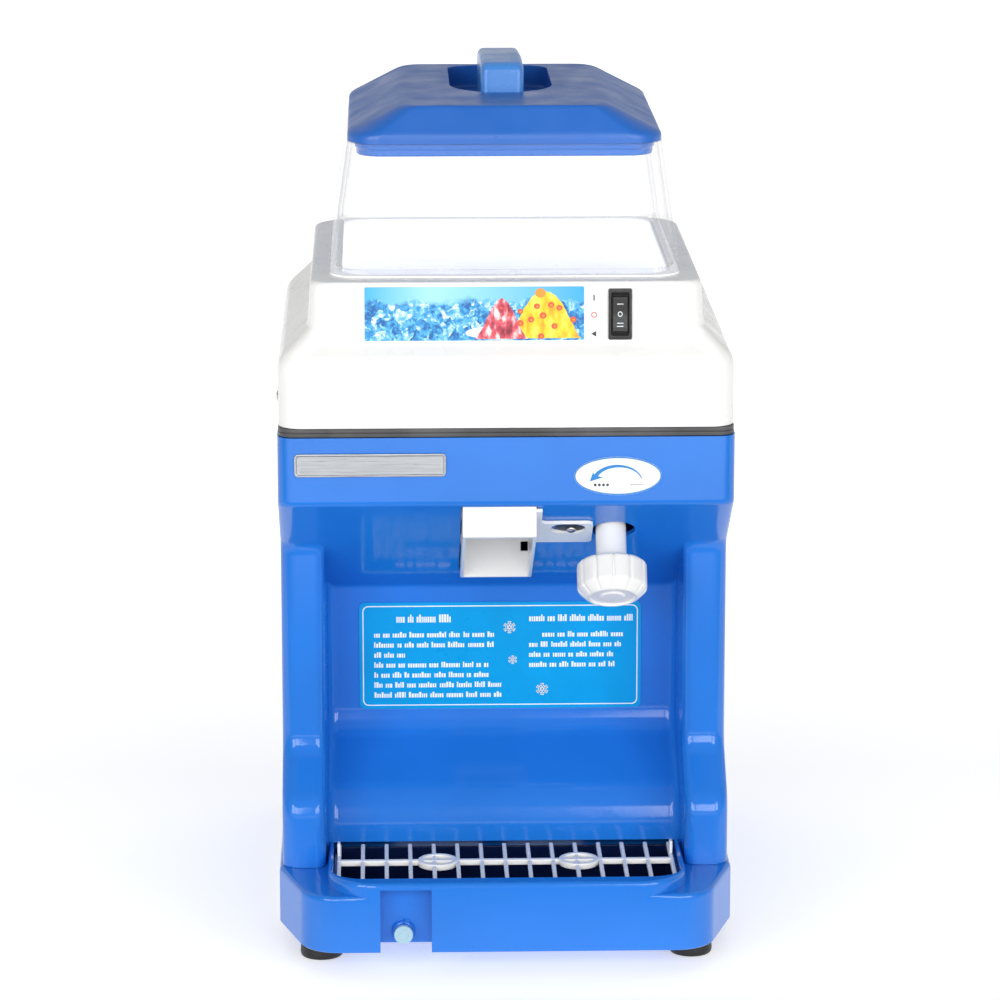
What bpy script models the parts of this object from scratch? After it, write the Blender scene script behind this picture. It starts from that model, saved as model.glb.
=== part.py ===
"""A counter-top shaved ice machine, as one object for each physical piece.

Metres, +Z up. The front faces -Y, and the origin is on the table under the middle of the base.
"""

import math

import bmesh
import bpy
from mathutils import Matrix, Vector

GAP = 0.0003  # between pieces that touch
WALL = 0.003  # moulded shells
CORNER_STEPS = 5
ROUND_STEPS = 24

# base and drip tray
BASE_HALF_X = 0.1685
BASE_FRONT = -0.2195
BASE_BACK = 0.220
BASE_LOW = 0.017
BASE_TOP = 0.060
BASE_TAPER_Y = -0.145
BASE_FRONT_HALF_X = 0.1455
RIM_TOP = 0.070
RIM_HALF_X = 0.1318
RIM_FRONT = -0.220
WELL_HALF_X = 0.128
WELL_FRONT = -0.205
WELL_BACK = -0.100
WELL_CORNER = 0.022
NOTCH_LEFT = -0.0935
NOTCH_RIGHT = -0.056
NOTCH_TOP = 0.065
FOOT_RADIUS = 0.016
FOOT_X = 0.137
FOOT_YS = (-0.170, 0.180)
DRAIN_X = -0.0766
DRAIN_Z = 0.0292
STUB_RADIUS = 0.0070
STUB_END = -0.2115
GRID_Z = 0.0612
GRID_BAR = 0.004
GRID_HALF_X = 0.1255
GRID_FRONT = -0.2040
GRID_BACK = -0.1075
GRID_MIDDLE = -0.1480
GRID_BARS = 15
GRID_RINGS = (-0.0505, 0.0545)
GRID_RING_RADIUS = 0.0150

# body
BODY_HALF_X = 0.166
BODY_FRONT = -0.175
BODY_BACK = 0.185
BODY_TOP = 0.3925
BODY_LOW = BASE_TOP + GAP
HOOD_LOW = 0.3425
UNDERSIDE_TILT = math.radians(35.0)
COLUMN_Y = -0.110
COLUMN_FOOT_Y = -0.150
RECESS_WALL_Y = -0.042
RECESS_FOOT_Y = -0.105
RECESS_FOOT_LOW = 0.066
RECESS_HALF_X = 0.133
BODY_CORNER = 0.012
BODY_BACK_CORNER = 0.050
GASKET_TOP = 0.3992
COVER_HALF_X = 0.165
COVER_SCREW_YS = (-0.125, 0.100)
COVER_SCREW_Z = 0.414

# white top cover, hopper and lid
COVER_LOW = GASKET_TOP + GAP
SHOULDER_Z = 0.449
DOME_HALF_X = 0.144
DOME_FRONT = -0.165
DOME_BACK = 0.132
SHOULDER_BACK = 0.164
ROOF_Z = 0.470
DOME_TOP = 0.504
HOPPER_HALF_X = 0.128
HOPPER_TOP_HALF_X = 0.1142
HOPPER_FRONT = -0.145
HOPPER_BACK = 0.120
HOPPER_TOP = 0.6005
HOPPER_LEAN = 0.004
HOPPER_WALL = 0.003
SEAT_HALF_X = 0.1220
SEAT_FRONT = -0.1385
SEAT_BACK = 0.1135
SEAT_CORNER = 0.022
FUNNEL_LOW = 0.4700
LID_LOW = HOPPER_TOP + GAP
LID_HALF_X = 0.1138
LID_FRONT = HOPPER_FRONT + HOPPER_LEAN + 0.0005
LID_BACK = HOPPER_BACK - HOPPER_LEAN - 0.0005
LID_FLAT_Z = 0.6274
LID_FLAT_HALF_X = 0.074
LID_FLAT_RUN = 0.010
HANDLE_TOP = 0.650
HANDLE_HALF_X = 0.0155
HANDLE_FRONT = -0.0615
HANDLE_BACK = 0.062
POCKET_HALF_X = 0.038
POCKET_FRONT = -0.060
POCKET_BACK = 0.098
POCKET_FRONT_BOW = 0.045
POCKET_BACK_BOW = 0.018
POCKET_DEPTH = 0.017

# ice works
SPINDLE_Y = -0.030
CHAMBER_RADIUS = 0.088
CHAMBER_WALL = 0.003
CHAMBER_FLOOR = 0.3985
CHAMBER_TOP = FUNNEL_LOW - 0.001
DECK_TOP = 0.387
DECK_THICK = 0.003
SHAFT_RADIUS = 0.008
PADDLE_LOW = 0.4015
PADDLE_TOP = 0.440
PADDLE_REACH = 0.081
CHUTE_LEFT = -0.032
CHUTE_RIGHT = 0.022
CHUTE_FRONT = -0.1713
CHUTE_BACK = -0.0665
CHUTE_TOP = 0.3825
CHUTE_WALL = 0.0025
CHUTE_FRONT_LOW = 0.3175
CHUTE_BACK_LOW = 0.2610
CHUTE_PEEP = (0.0135, 0.0190, 0.2820, 0.2895)  # the small opening in the rear wall: x, then z
FLANGE_RIGHT = 0.0640
FLANGE_SLOT_HALF_X = 0.0128
FLANGE_SLOT_LOW, FLANGE_SLOT_HIGH = -0.0044, 0.0132  # up the slope from the screw

# adjuster, along an axis square to the sloping underside
KNOB_X = 0.0777
KNOB_HOLE = Vector((KNOB_X, -0.134, 0.314))
KNOB_AXIS = Vector((0, -math.sin(UNDERSIDE_TILT), -math.cos(UNDERSIDE_TILT)))
KNOB_HOLE_RADIUS = 0.016
KNOB_HOLE_SHIFT = 0.0020  # the hole is wider on the right of the stem
STEM_RADIUS = 0.0112
STEM_UP = 0.060
KNOB_REAR = 0.0268
KNOB_FACE = 0.0538
KNOB_RADIUS = 0.0257
KNOB_LOBES = 12
ROD_RADIUS = 0.004
ROD_UP = 0.084

# belt drive and motor
MOTOR_Y = 0.085
MOTOR_RADIUS = 0.0475
MOTOR_TOP = 0.335
MOTOR_LOW = 0.215
BELT_Z = 0.358
BELT_WIDE = 0.008
BELT_THICK = 0.006
ROTOR_GROOVE = 0.027
MOTOR_GROOVE = 0.010
PULLEY_FLANGE = 0.004
MOTOR_SHAFT_RADIUS = 0.005

UP = Matrix()
SIDE_ON = Matrix(((0, 0, 1, 0), (1, 0, 0, 0), (0, 1, 0, 0), (0, 0, 0, 1)))  # outline (y, z) along X
FACE_ON = Matrix(((1, 0, 0, 0), (0, 0, -1, 0), (0, 1, 0, 0), (0, 0, 0, 1)))  # outline (x, z) along -Y

COLOURS = {
    "blue_plastic": ((0.022, 0.168, 0.640), 0.25, 0.0),
    "lid_plastic": ((0.022, 0.140, 0.560), 0.35, 0.0),
    "white_plastic": ((0.860, 0.855, 0.830), 0.30, 0.0),
    "clear_acrylic": ((0.900, 0.930, 0.940), 0.05, 0.0),
    "dark_rubber": ((0.030, 0.030, 0.032), 0.70, 0.0),
    "black_plastic": ((0.012, 0.012, 0.013), 0.35, 0.0),
    "steel": ((0.600, 0.600, 0.610), 0.30, 1.0),
    "grey_plastic": ((0.420, 0.560, 0.640), 0.40, 0.0),
    "printed_label": ((0.000, 0.330, 0.700), 0.40, 0.0),
    "badge_metal": ((0.700, 0.720, 0.760), 0.30, 1.0),
    "motor_paint": ((0.080, 0.085, 0.090), 0.50, 0.3),
}


def clear_scene():
    for obj in list(bpy.data.objects):
        bpy.data.objects.remove(obj, do_unlink=True)
    parts = bpy.data.collections.new("shaved_ice_machine")
    cutters = bpy.data.collections.new("cutters")
    for group in (parts, cutters):
        bpy.context.scene.collection.children.link(group)
    return parts, cutters


PARTS, CUTTERS = clear_scene()


def material(name):
    made = bpy.data.materials.get(name)
    if made:
        return made
    colour, roughness, metallic = COLOURS[name]
    made = bpy.data.materials.new(name)
    made.use_nodes = True
    shader = made.node_tree.nodes["Principled BSDF"]
    shader.inputs["Base Color"].default_value = (*colour, 1)
    shader.inputs["Roughness"].default_value = roughness
    shader.inputs["Metallic"].default_value = metallic
    return made


def place(name, mesh, finish, matrix=UP):
    """Links a mesh as a named piece, or as a cutter when it has no finish."""
    obj = bpy.data.objects.new(name, mesh)
    obj.matrix_world = matrix
    if finish:
        mesh.materials.append(material(finish))
        mesh.shade_smooth()
        mesh.set_sharp_from_angle(angle=math.radians(32))
        PARTS.objects.link(obj)
    else:
        obj.hide_render = True
        obj.display_type = "WIRE"
        CUTTERS.objects.link(obj)
    return obj


def mesh_from(build):
    """A mesh that build(bm) fills, with its faces turned outward."""
    mesh = bpy.data.meshes.new("shape")
    bm = bmesh.new()
    build(bm)
    bmesh.ops.recalc_face_normals(bm, faces=bm.faces)
    bm.to_mesh(mesh)
    bm.free()
    return mesh


def block(name, low, high, finish=None, matrix=UP):
    """A box between two corners."""
    size = [b - a for a, b in zip(low, high)]
    middle = [(a + b) / 2 for a, b in zip(low, high)]
    place_box = Matrix.Translation(middle) @ Matrix.Diagonal((*size, 1))
    mesh = mesh_from(lambda bm: bmesh.ops.create_cube(bm, size=1, matrix=place_box))
    return place(name, mesh, finish, matrix)


def drum(name, radius, low, high, finish=None, matrix=UP, centre=(0, 0), steps=ROUND_STEPS):
    """A cylinder along the local Z axis."""
    middle = Matrix.Translation((*centre, (low + high) / 2))

    def build(bm):
        bmesh.ops.create_cone(
            bm, cap_ends=True, segments=steps, radius1=radius, radius2=radius,
            depth=high - low, matrix=middle,
        )

    return place(name, mesh_from(build), finish, matrix)


def turned(name, profile, finish, matrix=UP, steps=ROUND_STEPS):
    """A (radius, height) profile turned about local Z, a closed loop unless its ends are on the axis."""
    on_axis = profile[0][0] == 0
    mesh = bpy.data.meshes.new("shape")
    count = len(profile)
    edges = [(i, i + 1) for i in range(count - 1)]
    if not on_axis:
        edges.append((count - 1, 0))
    mesh.from_pydata([(radius, 0, height) for radius, height in profile], edges, [])
    obj = place(name, mesh, finish, matrix)
    screw = obj.modifiers.new("Turn", "SCREW")
    screw.axis = "Z"
    screw.steps = steps
    screw.render_steps = steps
    screw.use_merge_vertices = True
    screw.merge_threshold = 0.00001
    screw.use_smooth_shade = True
    return obj


def slab(name, outline, thickness, finish=None, matrix=UP, holes=()):
    """A flat outline, with any holes, extruded half its thickness to each side."""
    curve = bpy.data.curves.new("outline", "CURVE")
    curve.dimensions = "2D"
    curve.fill_mode = "BOTH"
    curve.extrude = thickness / 2
    for loop in (outline, *holes):
        spline = curve.splines.new("POLY")
        spline.points.add(len(loop) - 1)
        for point, (x, y) in zip(spline.points, loop):
            point.co = (x, y, 0, 1)
        spline.use_cyclic_u = True
    drawn = bpy.data.objects.new("outline", curve)
    CUTTERS.objects.link(drawn)
    graph = bpy.context.evaluated_depsgraph_get()
    mesh = bpy.data.meshes.new_from_object(drawn.evaluated_get(graph))
    bpy.data.objects.remove(drawn)
    bm = bmesh.new()
    bm.from_mesh(mesh)
    bmesh.ops.remove_doubles(bm, verts=bm.verts, dist=0.00001)
    bmesh.ops.recalc_face_normals(bm, faces=bm.faces)
    bm.to_mesh(mesh)
    bm.free()
    return place(name, mesh, finish, matrix)


def loft(name, rings, finish=None, capped=False, matrix=UP):
    """A skin through rings of equally many points. The last ring joins the first unless it is capped."""

    def build(bm):
        rows = [[bm.verts.new(point) for point in ring] for ring in rings]
        pairs = list(zip(rows, rows[1:]))
        if capped:
            bm.faces.new(rows[0])
            bm.faces.new(rows[-1])
        else:
            pairs.append((rows[-1], rows[0]))
        for upper, lower in pairs:
            for i, corner in enumerate(upper):
                after = (i + 1) % len(upper)
                bm.faces.new((corner, upper[after], lower[after], lower[i]))

    return place(name, mesh_from(build), finish, matrix)


def boolean(obj, cutter, operation="DIFFERENCE"):
    """Adds an exact Boolean with one object or one collection."""
    made = obj.modifiers.new(operation.title(), "BOOLEAN")
    made.operation = operation
    made.solver = "EXACT"
    if isinstance(cutter, bpy.types.Collection):
        made.operand_type = "COLLECTION"
        made.collection = cutter
    else:
        made.object = cutter
    return obj


def grouped(name, objects):
    """A collection of cutters that one Boolean uses together."""
    group = bpy.data.collections.new(name)
    CUTTERS.children.link(group)
    for obj in objects:
        CUTTERS.objects.unlink(obj)
        group.objects.link(obj)
    return group


def bevel(obj, width, segments=2):
    """Rounds the edges that turn by more than 32 degrees."""
    made = obj.modifiers.new("Bevel", "BEVEL")
    made.width = width
    made.segments = segments
    made.limit_method = "ANGLE"
    made.angle_limit = math.radians(32)
    return obj


def rounded(corners, closed=True, steps=CORNER_STEPS):
    """A path through (x, y, radius) corners, each turned with an arc. A radius of 0 is a plain point."""
    path = []
    count = len(corners)
    for i, (x, y, radius) in enumerate(corners):
        here = Vector((x, y))
        at_end = not closed and i in (0, count - 1)
        if at_end or radius == 0:
            path.append((x, y))
            continue
        back = (Vector(corners[i - 1][:2]) - here).normalized()
        ahead = (Vector(corners[(i + 1) % count][:2]) - here).normalized()
        half_angle = back.angle(ahead) / 2
        reach = radius / math.tan(half_angle)
        centre = here + (back + ahead).normalized() * radius / math.sin(half_angle)
        start = here + back * reach - centre
        finish = here + ahead * reach - centre
        turn = math.atan2(start.x * finish.y - start.y * finish.x, start.dot(finish))
        for k in range(steps + 1):
            spoke = Matrix.Rotation(turn * k / steps, 2) @ start
            path.append(tuple(centre + spoke))
    return path


def rectangle(left, low, right, high, radius=0.0, steps=CORNER_STEPS):
    corners = [(left, low, radius), (right, low, radius), (right, high, radius), (left, high, radius)]
    return rounded(corners, steps=steps)


def circle(radius, x=0.0, y=0.0, steps=ROUND_STEPS):
    angles = [2 * math.pi * (k + 0.5) / steps for k in range(steps)]
    return [(x + radius * math.cos(a), y + radius * math.sin(a)) for a in angles]


def raised(outline, z):
    return [Vector((x, y, z)) for x, y in outline]


def plan_ring(half_x, front, back, radius, z, back_radius=None):
    """A rounded rectangle seen from above, with the same point count at any size."""
    far = radius if back_radius is None else back_radius
    corners = [(-half_x, front, radius), (half_x, front, radius), (half_x, back, far), (-half_x, back, far)]
    return raised(rounded(corners), z)


def throat_ring(radius, z):
    """A circle round the spindle that matches plan_ring point for point."""
    count = 4 * (CORNER_STEPS + 1)
    angles = [math.radians(-180) + 2 * math.pi * (k + 0.5) / count for k in range(count)]
    return [Vector((radius * math.cos(a), SPINDLE_Y + radius * math.sin(a), z)) for a in angles]


# ---------------------------------------------------------------- base


def base_outline(inset=0.0):
    half_x = BASE_HALF_X - inset
    front = BASE_FRONT + inset
    back = BASE_BACK - inset
    front_half_x = BASE_FRONT_HALF_X - inset * 0.7
    right = [(front_half_x, front, 0.030), (half_x, BASE_TAPER_Y, 0.015), (half_x, back, 0.030)]
    left = [(-x, y, radius) for x, y, radius in reversed(right)]
    return rounded(right + left)


def make_base_shell():
    shell = loft(
        "base_shell",
        [
            raised(base_outline(), BASE_LOW),
            raised(base_outline(), BASE_TOP - 0.003),
            raised(base_outline(0.001), BASE_TOP - 0.0008),
            raised(base_outline(0.003), BASE_TOP),
        ],
        "blue_plastic",
        capped=True,
    )
    rim = loft(
        "rim_block",
        [
            plan_ring(RIM_HALF_X, RIM_FRONT, WELL_BACK + 0.012, 0.036, BASE_TOP - 0.010, 0.010),
            plan_ring(RIM_HALF_X, RIM_FRONT, WELL_BACK + 0.012, 0.036, RIM_TOP - 0.002, 0.010),
            plan_ring(RIM_HALF_X - 0.002, RIM_FRONT + 0.002, WELL_BACK + 0.010, 0.034, RIM_TOP, 0.008),
        ],
        capped=True,
    )
    behind_foot = block(
        "foot_space", (-0.2, RECESS_FOOT_Y - 0.0095, RECESS_FOOT_LOW - 0.0062), (0.2, 0, RIM_TOP + 0.01)
    )
    boolean(rim, behind_foot)
    boolean(shell, rim, "UNION")
    hollow = loft(
        "base_hollow",
        [raised(base_outline(WALL), BASE_LOW - 0.01), raised(base_outline(WALL), BASE_TOP - WALL)],
        capped=True,
    )
    boolean(shell, hollow)
    inside_top = BASE_TOP - WALL + 0.001
    notch_back = WELL_FRONT + 0.0005
    bosses = [
        block(
            "notch_block",
            (NOTCH_LEFT - WALL, BASE_FRONT + 0.001, BASE_LOW),
            (NOTCH_RIGHT + WALL, notch_back + WALL, inside_top),
        )
    ]
    for x in (-FOOT_X, FOOT_X):
        for y in FOOT_YS:
            bosses.append(drum("foot_boss", FOOT_RADIUS, BASE_LOW, inside_top, centre=(x, y)))
    boolean(shell, grouped("base_bosses", bosses), "UNION")
    well = loft(
        "well_cut",
        [
            plan_ring(WELL_HALF_X, WELL_FRONT, WELL_BACK, WELL_CORNER, BASE_LOW - 0.01, 0.006),
            plan_ring(WELL_HALF_X, WELL_FRONT, WELL_BACK, WELL_CORNER, RIM_TOP + 0.01, 0.006),
        ],
        capped=True,
    )
    notch = block(
        "notch_cut",
        (NOTCH_LEFT, BASE_FRONT - 0.01, BASE_LOW - 0.01),
        (NOTCH_RIGHT, notch_back + 0.01, NOTCH_TOP),
    )
    boolean(shell, grouped("base_openings", [well, notch]))
    deck_opening = block("deck_opening", (-0.09, 0.0, BASE_TOP - 0.02), (0.09, 0.150, BASE_TOP + 0.02))
    boolean(shell, deck_opening)


def make_bottom_plate():
    """The sheet that closes the base under the wiring, with cooling slots."""
    half_x = BASE_HALF_X - WALL - 0.0006
    back = BASE_BACK - WALL - 0.0006
    outline = rounded(
        [
            (-half_x, WELL_BACK + 0.006, 0.004), (half_x, WELL_BACK + 0.006, 0.004),
            (half_x, back, 0.032), (-half_x, back, 0.032),
        ]
    )
    holes = [circle(FOOT_RADIUS + 0.001, x, FOOT_YS[1]) for x in (-FOOT_X, FOOT_X)]
    for k in range(5):
        x = 0.016 * (k - 2)
        holes.append(rectangle(x - 0.003, 0.06, x + 0.003, 0.12, 0.0029, 2))
    slab("bottom_plate", outline, 0.0012, "steel", Matrix.Translation((0, 0, BASE_LOW + 0.0014)), holes)


def make_feet():
    profile = [
        (0, BASE_LOW - GAP), (0.0135, BASE_LOW - GAP), (0.0148, 0.0150),
        (FOOT_RADIUS, 0.0030), (0.0152, 0.0008), (0.0135, 0), (0, 0),
    ]
    names = ("left_front_foot", "left_back_foot", "right_front_foot", "right_back_foot")
    spots = [(x, y) for x in (-FOOT_X, FOOT_X) for y in FOOT_YS]
    for name, (x, y) in zip(names, spots):
        turned(name, profile, "dark_rubber", Matrix.Translation((x, y, 0)), 18)


BASIN_WALL = 0.0025
BASIN_LOW = 0.0198


def make_drip_basin():
    half_x = WELL_HALF_X - GAP
    front = WELL_FRONT + GAP
    back = WELL_BACK - GAP
    rings = [
        plan_ring(half_x, front, back, WELL_CORNER - GAP, GRID_Z - GAP, 0.0057),
        plan_ring(half_x, front, back, WELL_CORNER - GAP, BASIN_LOW, 0.0057),
    ]
    pan = loft("drip_basin", rings, "blue_plastic", capped=True)
    inner = half_x - BASIN_WALL
    hollow = loft(
        "basin_hollow",
        [
            plan_ring(inner, front + BASIN_WALL, back - BASIN_WALL, 0.019, GRID_Z + 0.01, 0.004),
            plan_ring(inner, front + BASIN_WALL, back - BASIN_WALL, 0.019, BASIN_LOW + BASIN_WALL, 0.004),
        ],
        capped=True,
    )
    boolean(pan, hollow)
    along_y = FACE_ON.copy()
    along_y.translation = (DRAIN_X, 0, DRAIN_Z)
    collar = drum(
        "stub_collar", STUB_RADIUS + 0.0015, -front - 0.001, -front + 0.0025, matrix=along_y, steps=24
    )
    stub = drum("stub_tube", STUB_RADIUS, -front - 0.001, -STUB_END, matrix=along_y, steps=24)
    boolean(pan, grouped("drain_stub", [collar, stub]), "UNION")
    bore = drum("stub_bore", 0.0048, -front - 0.02, -STUB_END + 0.01, matrix=along_y, steps=24)
    boolean(pan, bore)


def make_drain_plug():
    along_y = FACE_ON.copy()
    along_y.translation = (DRAIN_X, 0, DRAIN_Z)
    flange_back = -STUB_END + GAP
    profile = [
        (0, flange_back + 0.0035), (0.0062, flange_back + 0.0035), (0.0070, flange_back + 0.0027),
        (0.0070, flange_back), (0.0045, flange_back), (0.0042, flange_back - 0.009), (0, flange_back - 0.009),
    ]
    turned("drain_plug", profile, "grey_plastic", along_y, 24)


def corner_relief(x):
    """How much shorter a cross bar is where the well's front corner rounds in."""
    into_corner = max(0.0, x - (WELL_HALF_X - WELL_CORNER))
    return WELL_CORNER - math.sqrt(WELL_CORNER**2 - into_corner**2)


def grid_comb():
    """The outline of the long bar with its cross bars, walked once round."""
    half_bar = GRID_BAR / 2
    pitch = (2 * GRID_HALF_X - 0.003) / (GRID_BARS - 1)
    centres = [-GRID_HALF_X + 0.0015 + pitch * k for k in range(GRID_BARS)]
    path = []
    for x in centres:
        front = GRID_FRONT + corner_relief(abs(x) + 0.0015)
        path += [(x - 0.0015, GRID_MIDDLE - half_bar), (x - 0.0015, front)]
        path += [(x + 0.0015, front), (x + 0.0015, GRID_MIDDLE - half_bar)]
    for x in reversed(centres):
        path += [(x + 0.0015, GRID_MIDDLE + half_bar), (x + 0.0015, GRID_BACK)]
        path += [(x - 0.0015, GRID_BACK), (x - 0.0015, GRID_MIDDLE + half_bar)]
    return [point for i, point in enumerate(path) if point != path[i - 1]]


def make_drip_grid():
    lift = Matrix.Translation((0, 0, GRID_Z + GRID_BAR / 2))
    grid = slab("drip_grid", grid_comb(), GRID_BAR, "white_plastic", lift)
    extras = []
    for x in GRID_RINGS:
        outer = circle(GRID_RING_RADIUS, x, GRID_MIDDLE, 28)
        inner = circle(GRID_RING_RADIUS - 0.004, x, GRID_MIDDLE, 28)
        extras.append(slab("grid_ring", outer, 0.0046, matrix=lift, holes=[inner]))
    for side in (-1, 1):
        x = side * (GRID_HALF_X - 0.0013)
        low = (x - 0.0012, GRID_MIDDLE + 0.012, GRID_Z + 0.001)
        extras.append(block("grid_tab", low, (x + 0.0012, GRID_MIDDLE + 0.019, GRID_Z + 0.013)))
    boolean(grid, grouped("grid_extras", extras), "UNION")


# ---------------------------------------------------------------- body


def underside_z(y):
    """Height of the hood's sloping underside."""
    return HOOD_LOW - (y - BODY_FRONT) * math.tan(UNDERSIDE_TILT)


def column_corners():
    return [
        (BODY_FRONT, BODY_TOP, 0),
        (BODY_FRONT, HOOD_LOW, 0.005),
        (COLUMN_Y, underside_z(COLUMN_Y), 0.014),
        (COLUMN_Y, 0.142, 0.022),
        (COLUMN_FOOT_Y, 0.108, 0.022),
        (COLUMN_FOOT_Y, BODY_LOW, 0),
    ]


def recess_corners():
    return [
        (BODY_FRONT, BODY_TOP, 0),
        (BODY_FRONT, HOOD_LOW, 0.005),
        (RECESS_WALL_Y, underside_z(RECESS_WALL_Y), 0.006),
        (RECESS_WALL_Y, 0.140, 0.026),
        (RECESS_FOOT_Y, 0.097, 0.026),
        (RECESS_FOOT_Y, RECESS_FOOT_LOW, 0),
    ]


def moved_in(corners, distance):
    """The same open profile moved towards +Y by a wall's thickness, its ends kept at their heights."""
    moved = []
    for i, (y, z, radius) in enumerate(corners):
        here = Vector((y, z))
        if i in (0, len(corners) - 1):
            moved.append((y + distance, z, radius))
            continue
        before = (here - Vector(corners[i - 1][:2])).normalized()
        after = (Vector(corners[i + 1][:2]) - here).normalized()
        inward = Vector((-before.y - after.y, before.x + after.x)).normalized()
        reach = distance / inward.dot(Vector((-before.y, before.x)))
        moved.append((*(here + inward * reach), radius))
    return moved


def body_ring(column, recess, inset):
    """One ring round the body: the recess wall, one column's front, the side and the back, then mirrored."""
    column_y, column_z = column
    recess_y, recess_z = recess
    deep = max(recess_y - column_y, 0.0)
    turn_y = min(0.008, deep * 0.4)
    inner_x = RECESS_HALF_X + inset
    outer_x = BODY_HALF_X - inset
    back = BODY_BACK - inset
    far = BODY_BACK_CORNER - inset
    near = BODY_CORNER - inset * 0.5
    draft = 0.0006

    def between(x, y):
        share = (y - column_y) / deep if deep > 1e-6 else 0
        return Vector((x, y, column_z + (recess_z - column_z) * share))

    half = [Vector((0, recess_y, recess_z))]
    angles = [math.pi / 2 * k / 4 for k in range(5)]
    for a in angles:
        x = inner_x - draft - 0.008 * (1 - math.sin(a))
        half.append(between(x, recess_y - turn_y * (1 - math.cos(a))))
    for a in angles:
        x = inner_x + draft + 0.008 * (1 - math.cos(a))
        half.append(between(x, column_y + turn_y * (1 - math.sin(a))))
    for a in angles:
        x = outer_x - near * (1 - math.sin(a))
        half.append(Vector((x, column_y + near * (1 - math.cos(a)), column_z)))
    for a in angles:
        x = outer_x - far * (1 - math.cos(a))
        half.append(Vector((x, back - far * (1 - math.sin(a)), column_z)))
    half.append(Vector((0, back, column_z)))
    return half + [Vector((-p.x, p.y, p.z)) for p in reversed(half[1:-1])]


def body_rings(inset):
    columns = rounded(moved_in(column_corners(), inset), closed=False, steps=4)
    recesses = rounded(moved_in(recess_corners(), inset), closed=False, steps=4)
    return [body_ring(column, recess, inset) for column, recess in zip(columns, recesses)]


def underside_frame(x, y):
    """Local Z points out of the hood's underside, local X along X."""
    out = KNOB_AXIS
    across = Vector((1, 0, 0))
    along = out.cross(across)
    frame = Matrix((across, along, out)).transposed().to_4x4()
    frame.translation = (x, y, underside_z(y))
    return frame


KNOB_FRAME = underside_frame(KNOB_X, KNOB_HOLE.y)
SCREW_SPOT = (0.0485, -0.1375)
BACK_PANEL = (-0.108, 0.122, 0.108, 0.338)
INLET_SPOT = (-0.085, 0.092)


def make_body_shell():
    outer = body_rings(0.0)
    inner = body_rings(WALL)
    shell = loft("body_shell", outer + list(reversed(inner)), "blue_plastic")
    left, low, right, high = BACK_PANEL
    inlet_x, inlet_z = INLET_SPOT
    hole_frame = underside_frame(KNOB_X + KNOB_HOLE_SHIFT, KNOB_HOLE.y)
    cuts = [
        block(
            "chute_cut",
            (CHUTE_LEFT - 0.001, CHUTE_FRONT - 0.0005, 0.24),
            (CHUTE_RIGHT + 0.001, CHUTE_BACK + 0.001, 0.36),
        ),
        drum("knob_cut", KNOB_HOLE_RADIUS, -0.012, 0.006, matrix=hole_frame),
        drum("screw_cut", 0.0026, -0.012, 0.006, matrix=underside_frame(*SCREW_SPOT), steps=16),
        block(
            "panel_cut",
            (left + 0.008, BODY_BACK - 0.008, low + 0.008),
            (right - 0.008, BODY_BACK + 0.004, high - 0.008),
        ),
        block(
            "inlet_cut",
            (inlet_x - 0.0143, BODY_BACK - 0.008, inlet_z - 0.0103),
            (inlet_x + 0.0143, BODY_BACK + 0.004, inlet_z + 0.0103),
        ),
    ]
    boolean(shell, grouped("body_openings", cuts))


def back_screw_spots():
    left, low, right, high = BACK_PANEL
    return [(x, z) for x in (left + 0.004, right - 0.004) for z in (low + 0.004, high - 0.004)]


def make_back_panel():
    left, low, right, high = BACK_PANEL
    slots = []
    for column in (-1, 1):
        for row in range(9):
            z = low + 0.030 + 0.0195 * row
            middle = column * 0.046
            slots.append(rectangle(middle - 0.036, z - 0.003, middle + 0.036, z + 0.003, 0.0029, 2))
    frame = FACE_ON.copy()
    frame.translation = (0, BODY_BACK + GAP + 0.001, 0)
    panel = slab("back_panel", rectangle(left, low, right, high, 0.008), 0.002, "blue_plastic", frame, slots)
    holes = []
    for x, z in back_screw_spots():
        at = FACE_ON.copy()
        at.translation = (x, BODY_BACK, z)
        holes.append(drum("panel_hole", 0.0019, -0.01, 0.01, matrix=at, steps=16))
    boolean(panel, grouped("panel_holes", holes))


def outward_x(side, x, y, z):
    """A frame whose local Z points out of the left (-1) or the right (1) side."""
    return Matrix(((0, 0, side, side * x), (0, 1, 0, y), (-side, 0, 0, z), (0, 0, 0, 1)))


def screw_profile(head, shank, length, rise):
    """A dome-headed screw that points down local Z, its head resting at height 0."""
    dome = [(head * math.sin(a), rise * math.cos(a)) for a in (0, 0.7, 1.2)]
    return [*dome, (head, 0), (shank, 0), (shank, -length), (0, -length)]


def make_screws():
    out_back = Matrix(((1, 0, 0, 0), (0, 0, 1, 0), (0, -1, 0, 0), (0, 0, 0, 1)))
    names = ("left_low", "left_high", "right_low", "right_high")
    for name, (x, z) in zip(names, back_screw_spots()):
        frame = out_back.copy()
        frame.translation = (x, BODY_BACK + 0.002 + 2 * GAP, z)
        turned(f"back_screw_{name}", screw_profile(0.0036, 0.0015, 0.0021, 0.0018), "steel", frame, 12)
    for side, side_name in ((-1, "left"), (1, "right")):
        for y, end_name in zip(COVER_SCREW_YS, ("front", "back")):
            out = outward_x(side, COVER_HALF_X + GAP, y, COVER_SCREW_Z)
            profile = screw_profile(0.0045, 0.0018, 0.0065, 0.0020)
            turned(f"cover_screw_{side_name}_{end_name}", profile, "steel", out, 12)
    at = underside_frame(*SCREW_SPOT) @ Matrix.Translation((0, 0, 0.0012))
    turned("chute_screw", screw_profile(0.0037, 0.0018, 0.010, 0.0024), "steel", at, 12)


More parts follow.
